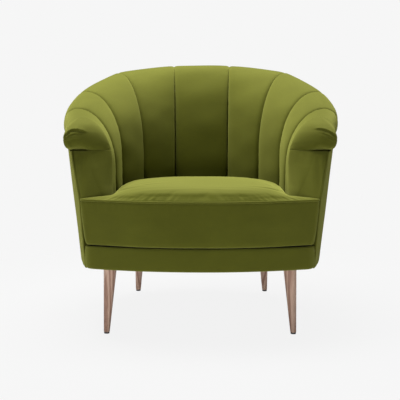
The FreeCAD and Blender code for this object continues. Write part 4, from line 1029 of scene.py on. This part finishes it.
def soft_copy(node, slack):
    """A piece with a CAD node's outline, its faces divided and moved up and down by a slow wave."""
    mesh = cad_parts[node].data.copy()
    piece = linked(f"soft_{node}", mesh)
    shape = bmesh.new()
    shape.from_mesh(mesh)
    bmesh.ops.remove_doubles(shape, verts=shape.verts, dist=1e-6)
    bmesh.ops.triangulate(shape, faces=shape.faces)
    while long_edges := [edge for edge in shape.edges if edge.calc_length() > SOFT_EDGE * MM]:
        bmesh.ops.subdivide_edges(shape, edges=long_edges, cuts=1)
        bmesh.ops.triangulate(shape, faces=shape.faces)
    for vertex in shape.verts:
        x, y = vertex.co.x / MM, vertex.co.y / MM
        vertex.co.z += slack * MM * math.sin(x / SOFT_WAVE + 0.4) * math.cos(y / SOFT_WAVE - 0.8)
    for face in shape.faces:
        face.smooth = abs(face.normal.z) > 0.5
    shape.to_mesh(mesh)
    shape.free()
    return piece


# ---------------------------------------------------------------- node trees
def fill_inputs(node, inputs):
    """Sets a node's inputs; a value that is another node's output is linked."""
    for label, value in inputs.items():
        if isinstance(value, bpy.types.NodeSocket):
            node.id_data.links.new(value, node.inputs[label])
        else:
            node.inputs[label].default_value = value


def add(tree, kind, inputs=None, **settings):
    node = tree.nodes.new(kind)
    for label, value in settings.items():
        setattr(node, label, value)
    fill_inputs(node, inputs or {})
    return node


def clean_tree(owner):
    """The emptied node tree of a material or a world."""
    owner.use_nodes = True
    owner.node_tree.nodes.clear()
    return owner.node_tree


def piping_tree():
    """Sweeps a round cord along an edge loop and gives it a fabric; gives the tree and its two settings."""
    tree = bpy.data.node_groups.new("piping", "GeometryNodeTree")
    tree.interface.new_socket("Geometry", in_out="INPUT", socket_type="NodeSocketGeometry")
    cord = tree.interface.new_socket("Cord radius", in_out="INPUT", socket_type="NodeSocketFloat")
    fabric = tree.interface.new_socket("Fabric", in_out="INPUT", socket_type="NodeSocketMaterial")
    tree.interface.new_socket("Geometry", in_out="OUTPUT", socket_type="NodeSocketGeometry")
    given = add(tree, "NodeGroupInput").outputs
    curve = add(tree, "GeometryNodeMeshToCurve", {0: given["Geometry"]})
    ring = add(tree, "GeometryNodeCurvePrimitiveCircle", {"Resolution": 14, "Radius": given["Cord radius"]})
    sweep = add(tree, "GeometryNodeCurveToMesh", {"Curve": curve.outputs[0], "Profile Curve": ring.outputs[0]})
    smooth = add(tree, "GeometryNodeSetShadeSmooth", {0: sweep.outputs[0]})
    realized = add(tree, "GeometryNodeRealizeInstances", {0: smooth.outputs[0]})
    paint = add(tree, "GeometryNodeSetMaterial", {"Geometry": realized.outputs[0], "Material": given["Fabric"]})
    add(tree, "NodeGroupOutput", {0: paint.outputs[0]})
    return tree, cord.identifier, fabric.identifier


# ---------------------------------------------------------------- materials
FINE_BUMP = 0.0004


def material(name):
    made = bpy.data.materials.new(name)
    tree = clean_tree(made)
    shader = add(tree, "ShaderNodeBsdfPrincipled")
    add(tree, "ShaderNodeOutputMaterial", {0: shader.outputs[0]})
    return made, tree, shader


def coordinates(tree, scale=(1, 1, 1)):
    where = add(tree, "ShaderNodeTexCoord").outputs["Object"]
    return add(tree, "ShaderNodeMapping", {0: where, "Scale": scale}).outputs[0]


def noise(tree, vector, scale, detail=3.0, roughness=0.5, distortion=0.0):
    made = add(tree, "ShaderNodeTexNoise", {"Vector": vector, "Scale": scale, "Detail": detail})
    fill_inputs(made, {"Roughness": roughness, "Distortion": distortion})
    return made.outputs["Fac"]


def ramp(tree, factor, stops):
    made = add(tree, "ShaderNodeValToRGB", {0: factor})
    while len(made.color_ramp.elements) < len(stops):
        made.color_ramp.elements.new(0.5)
    for element, (place, colour) in zip(made.color_ramp.elements, stops):
        element.position = place
        element.color = (*colour, 1)
    return made.outputs[0]


def multiplied(tree, share, colour, layer):
    """A colour multiplied by a layer, by a share of it."""
    inputs = {0: float(share), 6: colour, 7: layer}
    return add(tree, "ShaderNodeMix", inputs, data_type="RGBA", blend_type="MULTIPLY").outputs[2]


def add_bump(tree, shader, height, strength, distance):
    inputs = {"Strength": strength, "Distance": distance, "Height": height}
    fill_inputs(shader, {"Normal": add(tree, "ShaderNodeBump", inputs).outputs[0]})


def velvet_material(name, deep, light, laid_back=False):
    """Short pile: brushed patches, faint strokes and specks of pile under a soft sheen."""
    made, tree, shader = material(name)
    where = coordinates(tree)
    colour = ramp(tree, noise(tree, where, 7, 4, 0.55, 0.6), [(0.25, deep), (0.78, light)])
    marks = noise(tree, coordinates(tree, (1, 1, 2.6)), 30, 4, 0.55, 0.8)
    pile = noise(tree, where, 1500, 2, 0.6)
    stroke = ramp(tree, marks, [(0.35, (0.9, 0.9, 0.88)), (0.65, (1.05, 1.05, 1.03))])
    speck = ramp(tree, pile, [(0.3, (0.8, 0.8, 0.78)), (0.7, (1.1, 1.1, 1.1))])
    colour = multiplied(tree, 0.5, multiplied(tree, 0.5, colour, stroke), speck)
    fill_inputs(shader, {"Base Color": colour, "Roughness": 0.85, "Specular IOR Level": 0.04})
    fill_inputs(shader, {"Sheen Weight": 0.4, "Sheen Roughness": 0.75, "Sheen Tint": (0.78, 0.8, 0.2, 1)})
    if laid_back:
        # Pile laid to the back of the seat: its sheen comes at low angles, and a little from above
        edge = add(tree, "ShaderNodeLayerWeight").outputs["Facing"]
        grey_stops = [(0, 0.4), (0.28, 0.3), (0.52, 0.03), (1, 1)]
        weight = ramp(tree, edge, [(place, (level,) * 3) for place, level in grey_stops])
        fill_inputs(shader, {"Sheen Weight": weight})
    add_bump(tree, shader, pile, 0.35, FINE_BUMP)
    return made


def wood_material(name, dark, mid, light, axis_scale, ring_scale, gloss):
    """Wood with distorted growth rings, fine pores and a slow change of tone."""
    made, tree, shader = material(name)
    where = coordinates(tree, axis_scale)
    bands = {"Vector": where, "Scale": ring_scale, "Distortion": 5.5, "Detail": 3, "Detail Scale": 1.4}
    rings = add(tree, "ShaderNodeTexWave", bands, wave_type="RINGS", rings_direction="Z").outputs["Fac"]
    pore_scale = tuple(scale * times for scale, times in zip(axis_scale, (60, 60, 3)))
    pores = noise(tree, coordinates(tree, pore_scale), 22, 4, 0.65)
    colour = ramp(tree, rings, [(0.15, dark), (0.5, mid), (0.85, light)])
    pore_tone = ramp(tree, pores, [(0.38, (0.62, 0.58, 0.55)), (0.55, (1, 1, 1))])
    tone = ramp(tree, noise(tree, where, 3.2, 3, 0.5), [(0.3, (0.86, 0.86, 0.88)), (0.7, (1.08, 1.06, 1.04))])
    colour = multiplied(tree, 0.7, multiplied(tree, 0.6, colour, pore_tone), tone)
    fill_inputs(shader, {"Base Color": colour, "Roughness": gloss})
    add_bump(tree, shader, pores, 0.25, FINE_BUMP)
    return made


def cloth_material(name, first, second, threads):
    """Plain weave of two crossed sets of threads, a little dirty."""
    made, tree, shader = material(name)
    where = coordinates(tree)
    bands = {"Vector": where, "Scale": threads, "Distortion": 0.4}
    warp, weft = (add(tree, "ShaderNodeTexWave", bands, wave_type="BANDS", bands_direction=way) for way in "XY")
    threads_crossed = {0: warp.outputs["Fac"], 1: weft.outputs["Fac"]}
    weave = add(tree, "ShaderNodeMath", threads_crossed, operation="MULTIPLY").outputs[0]
    colour = ramp(tree, weave, [(0.1, first), (0.7, second)])
    dirt = ramp(tree, noise(tree, where, 7, 3), [(0.35, (0.9, 0.9, 0.9)), (0.7, (1, 1, 1))])
    fill_inputs(shader, {"Base Color": multiplied(tree, 0.7, colour, dirt), "Roughness": 0.9})
    add_bump(tree, shader, weave, 0.3, 0.0003)
    return made


def metal_material(name, colour, roughness, metallic):
    made, tree, shader = material(name)
    marks = noise(tree, coordinates(tree), 160, 3, 0.6)
    tone = ramp(tree, marks, [(0.35, tuple(part * 0.82 for part in colour)), (0.7, colour)])
    fill_inputs(shader, {"Base Color": tone, "Metallic": metallic, "Roughness": roughness})
    add_bump(tree, shader, marks, 0.08, 0.0002)
    return made


def foam_material(name, first, second, cell, depth):
    made, tree, shader = material(name)
    cells = noise(tree, coordinates(tree), cell, 4, 0.7)
    colour = ramp(tree, cells, [(0.35, first), (0.65, second)])
    fill_inputs(shader, {"Base Color": colour, "Roughness": 0.95})
    add_bump(tree, shader, cells, 0.5, depth)
    return made


OLIVE = (0.054, 0.058, 0.003), (0.07, 0.076, 0.005)
materials = {
    "velvet": velvet_material("olive velvet", *OLIVE),
    "seat velvet": velvet_material("olive velvet on the seat", *OLIVE, True),
    "piping": velvet_material("olive velvet on the cord", (0.05, 0.054, 0.003), (0.065, 0.07, 0.005)),
    "leg_wood": wood_material(
        "washed oak", (0.42, 0.24, 0.17), (0.58, 0.36, 0.26), (0.7, 0.48, 0.36), (1, 1, 0.09), 26, 0.6
    ),
    "frame_wood": wood_material(
        "raw beech", (0.42, 0.27, 0.15), (0.52, 0.35, 0.21), (0.6, 0.43, 0.28), (0.12, 1, 1), 20, 0.7
    ),
    "plywood": wood_material(
        "birch plywood", (0.45, 0.31, 0.18), (0.56, 0.41, 0.26), (0.66, 0.5, 0.34), (0.2, 1, 3), 9, 0.7
    ),
    "foam": foam_material("cut foam", (0.6, 0.55, 0.38), (0.72, 0.68, 0.5), 420, 0.0006),
    "fibre": foam_material("polyester fibre", (0.68, 0.68, 0.66), (0.8, 0.8, 0.79), 95, 0.002),
    "deck_cloth": cloth_material("black deck cloth", (0.006, 0.006, 0.006), (0.03, 0.03, 0.03), 260),
    "webbing": cloth_material("jute webbing", (0.18, 0.12, 0.06), (0.34, 0.25, 0.14), 120),
    "zinc_steel": metal_material("zinc plated steel", (0.55, 0.56, 0.57), 0.35, 1.0),
    "spring_steel": metal_material("spring steel", (0.16, 0.16, 0.165), 0.45, 1.0),
    "clip": metal_material("galvanised clip", (0.42, 0.42, 0.41), 0.5, 1.0),
    "glide": metal_material("nylon glide", (0.035, 0.035, 0.037), 0.5, 0.0),
}


# ---------------------------------------------------------------- pieces on their bodies
def dress(piece, slot_name, finish=None):
    piece.data.materials.clear()
    piece.data.materials.append(materials[finish or slot_name])


for piece, node, fill in velvet_pieces:
    dress(piece, "velvet")
    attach(piece, "chair")
    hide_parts(node)

for piece, node in cushion_pieces:
    dress(piece, "velvet", "seat velvet" if node == "cushion_top_panel" else None)
    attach(piece, "seat_cushion")
    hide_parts(node)

dress(fibre_layer, "fibre")
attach(fibre_layer, "seat_cushion")
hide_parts("cushion_fibre_crown")

piping_plan = rounded_plan(cushion_corners(TOP_INSET)) + ring_out * (front_share * 0.6)[:, None]
piping_edges = [(place, (place + 1) % RING_COUNT) for place in range(RING_COUNT)]
piping_mesh = plain_mesh("velvet_cushion_piping", raised(piping_plan, PIPING_LEVEL), piping_edges, [])
piping = linked("velvet_cushion_piping", piping_mesh)
sweep = piping.modifiers.new("piping", "NODES")
sweep.node_group, cord_setting, fabric_setting = piping_tree()
sweep[cord_setting] = CORD_RADIUS * MM
sweep[fabric_setting] = materials["piping"]
settle(piping)
dress(piping, "piping")
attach(piping, "seat_cushion")
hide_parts("cushion_piping")

# Cloths and pads inside and under the seat: flat size, flat area and what holds them
SHEETS = {
    "dust_cover": ("chair", "deck_cloth", (0.703, 0.657), 0.4039, ["base_rail_front", "base_rail_back"], 0.3),
    "deck_cover": ("chair", "deck_cloth", (0.6394, 0.5575), 0.2527, ["deck_pad"], 0.0),
    "back_webbing": ("chair", "webbing", (0.06, 3.194), 0.1916, ["seat_ring", "top_rail_back"], 0.0),
}
for node, (body, slot_name, flat, area, holders, slack) in SHEETS.items():
    piece = soft_copy(node, slack)
    dress(piece, slot_name)
    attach(piece, body)
    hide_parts(node)
for node, body in (("deck_pad", "chair"), ("cushion_core", "seat_cushion")):
    piece = soft_copy(node, 0.0)
    dress(piece, "foam")
    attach(piece, body)
    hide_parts(node)

# Materials of the CAD nodes that are seen as they are, by the start of their names; the rest is frame wood
NODE_SLOTS = {
    "leg_front": "leg_wood",
    "leg_rear": "leg_wood",
    "leg_bolts": "zinc_steel",
    "leg_tee_nuts": "zinc_steel",
    "leg_glides": "glide",
    "ring_screws": "zinc_steel",
    "dust_cover_staples": "zinc_steel",
    "seat_springs": "spring_steel",
    "spring_clips": "clip",
    "seat_ring": "plywood",
}
for node_name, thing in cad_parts.items():
    if thing.hide_render:
        continue
    chosen = next((slot for start, slot in NODE_SLOTS.items() if node_name.startswith(start)), "frame_wood")
    slots = thing.data.materials
    if not slots:
        slots.append(materials[chosen])
    for place in range(len(slots)):
        slots[place] = materials[chosen]


# ---------------------------------------------------------------- studio
PALE = (0.922, 0.922, 0.922, 1)
FLOOR_REACH = 30000


def seen_by(tree, *rays):
    """1 for the rays that see a surface itself, 0 for those that only gather its light."""
    path = add(tree, "ShaderNodeLightPath").outputs
    return add(tree, "ShaderNodeMath", {0: path[rays[0]], 1: path[rays[1]]}, operation="MAXIMUM").outputs[0]


def backdrop_material():
    """A floor as pale as the background, with the shadow left in it near the chair."""
    made = bpy.data.materials.new("pale floor")
    tree = clean_tree(made)
    lit = add(tree, "ShaderNodeBsdfDiffuse", {"Color": (0.9, 0.9, 0.9, 1)})
    glow = add(tree, "ShaderNodeEmission", {"Color": PALE})
    where = add(tree, "ShaderNodeTexCoord").outputs["Object"]
    length = add(tree, "ShaderNodeVectorMath", {0: where}, operation="LENGTH").outputs["Value"]
    limits = {"From Min": 0.45, "From Max": 1.1, "To Min": 0.95, "To Max": 1.0}
    fade = add(tree, "ShaderNodeMapRange", {"Value": length, **limits}).outputs[0]
    seen = seen_by(tree, "Is Camera Ray", "Is Glossy Ray")
    share = add(tree, "ShaderNodeMath", {0: seen, 1: fade}, operation="MULTIPLY").outputs[0]
    mixed = add(tree, "ShaderNodeMixShader", {0: share, 1: lit.outputs[0], 2: glow.outputs[0]})
    add(tree, "ShaderNodeOutputMaterial", {0: mixed.outputs[0]})
    return made


floor_corners = np.array([(-1, -1, 0), (1, -1, 0), (1, 1, 0), (-1, 1, 0)]) * FLOOR_REACH
floor_mesh = plain_mesh("studio_floor", floor_corners, [], [(0, 1, 2, 3)])
floor_mesh.materials.append(backdrop_material())
floor = linked("studio_floor", floor_mesh)

world = bpy.data.worlds.new("studio")
bpy.context.scene.world = world
tree = clean_tree(world)
seen_sky = add(tree, "ShaderNodeBackground", {"Color": PALE})
lit_sky = add(tree, "ShaderNodeBackground", {"Color": (1, 1, 1, 1), "Strength": 0.08})
seen = seen_by(tree, "Is Camera Ray", "Is Transmission Ray")
mixed = add(tree, "ShaderNodeMixShader", {0: seen, 1: lit_sky.outputs[0], 2: seen_sky.outputs[0]})
add(tree, "ShaderNodeOutputWorld", {0: mixed.outputs[0]})


def soft_light(name, place, target, size, energy):
    light = bpy.data.lights.new(name, "AREA")
    light.shape = "RECTANGLE"
    light.size, light.size_y = size
    light.energy = energy
    lamp = linked(name, light)
    lamp.location = place
    lamp.rotation_euler = (Vector(target) - Vector(place)).to_track_quat("-Z", "Y").to_euler()
    return lamp


lamps = [
    soft_light("top_softbox", (-0.3, 0.4, 2.6), (0, 0, 0.4), (2.2, 1.2), 112),
    soft_light("front_softbox", (-0.5, -2.8, 0.22), (0, 0, 0.2), (2.4, 0.34), 23),
]

# The photograph's camera: its focal length and width in pixels, its place, and its pitch and turn in radians
SENSOR, FOCAL_PIXELS, PICTURE_PIXELS = 36, 850, 400
CAMERA_PLACE, CAMERA_PITCH, CAMERA_TURN = (0.025, -2.707, 0.736), 0.1386, 0.0102
camera_data = bpy.data.cameras.new("camera")
camera_data.lens = SENSOR * FOCAL_PIXELS / PICTURE_PIXELS
camera_data.sensor_width = SENSOR
camera_data.clip_end = 100
camera = linked("camera", camera_data)
camera.location = CAMERA_PLACE
camera.rotation_euler = (math.pi / 2 - CAMERA_PITCH, 0, CAMERA_TURN)
bpy.context.scene.camera = camera
bpy.context.scene.view_settings.view_transform = "Standard"
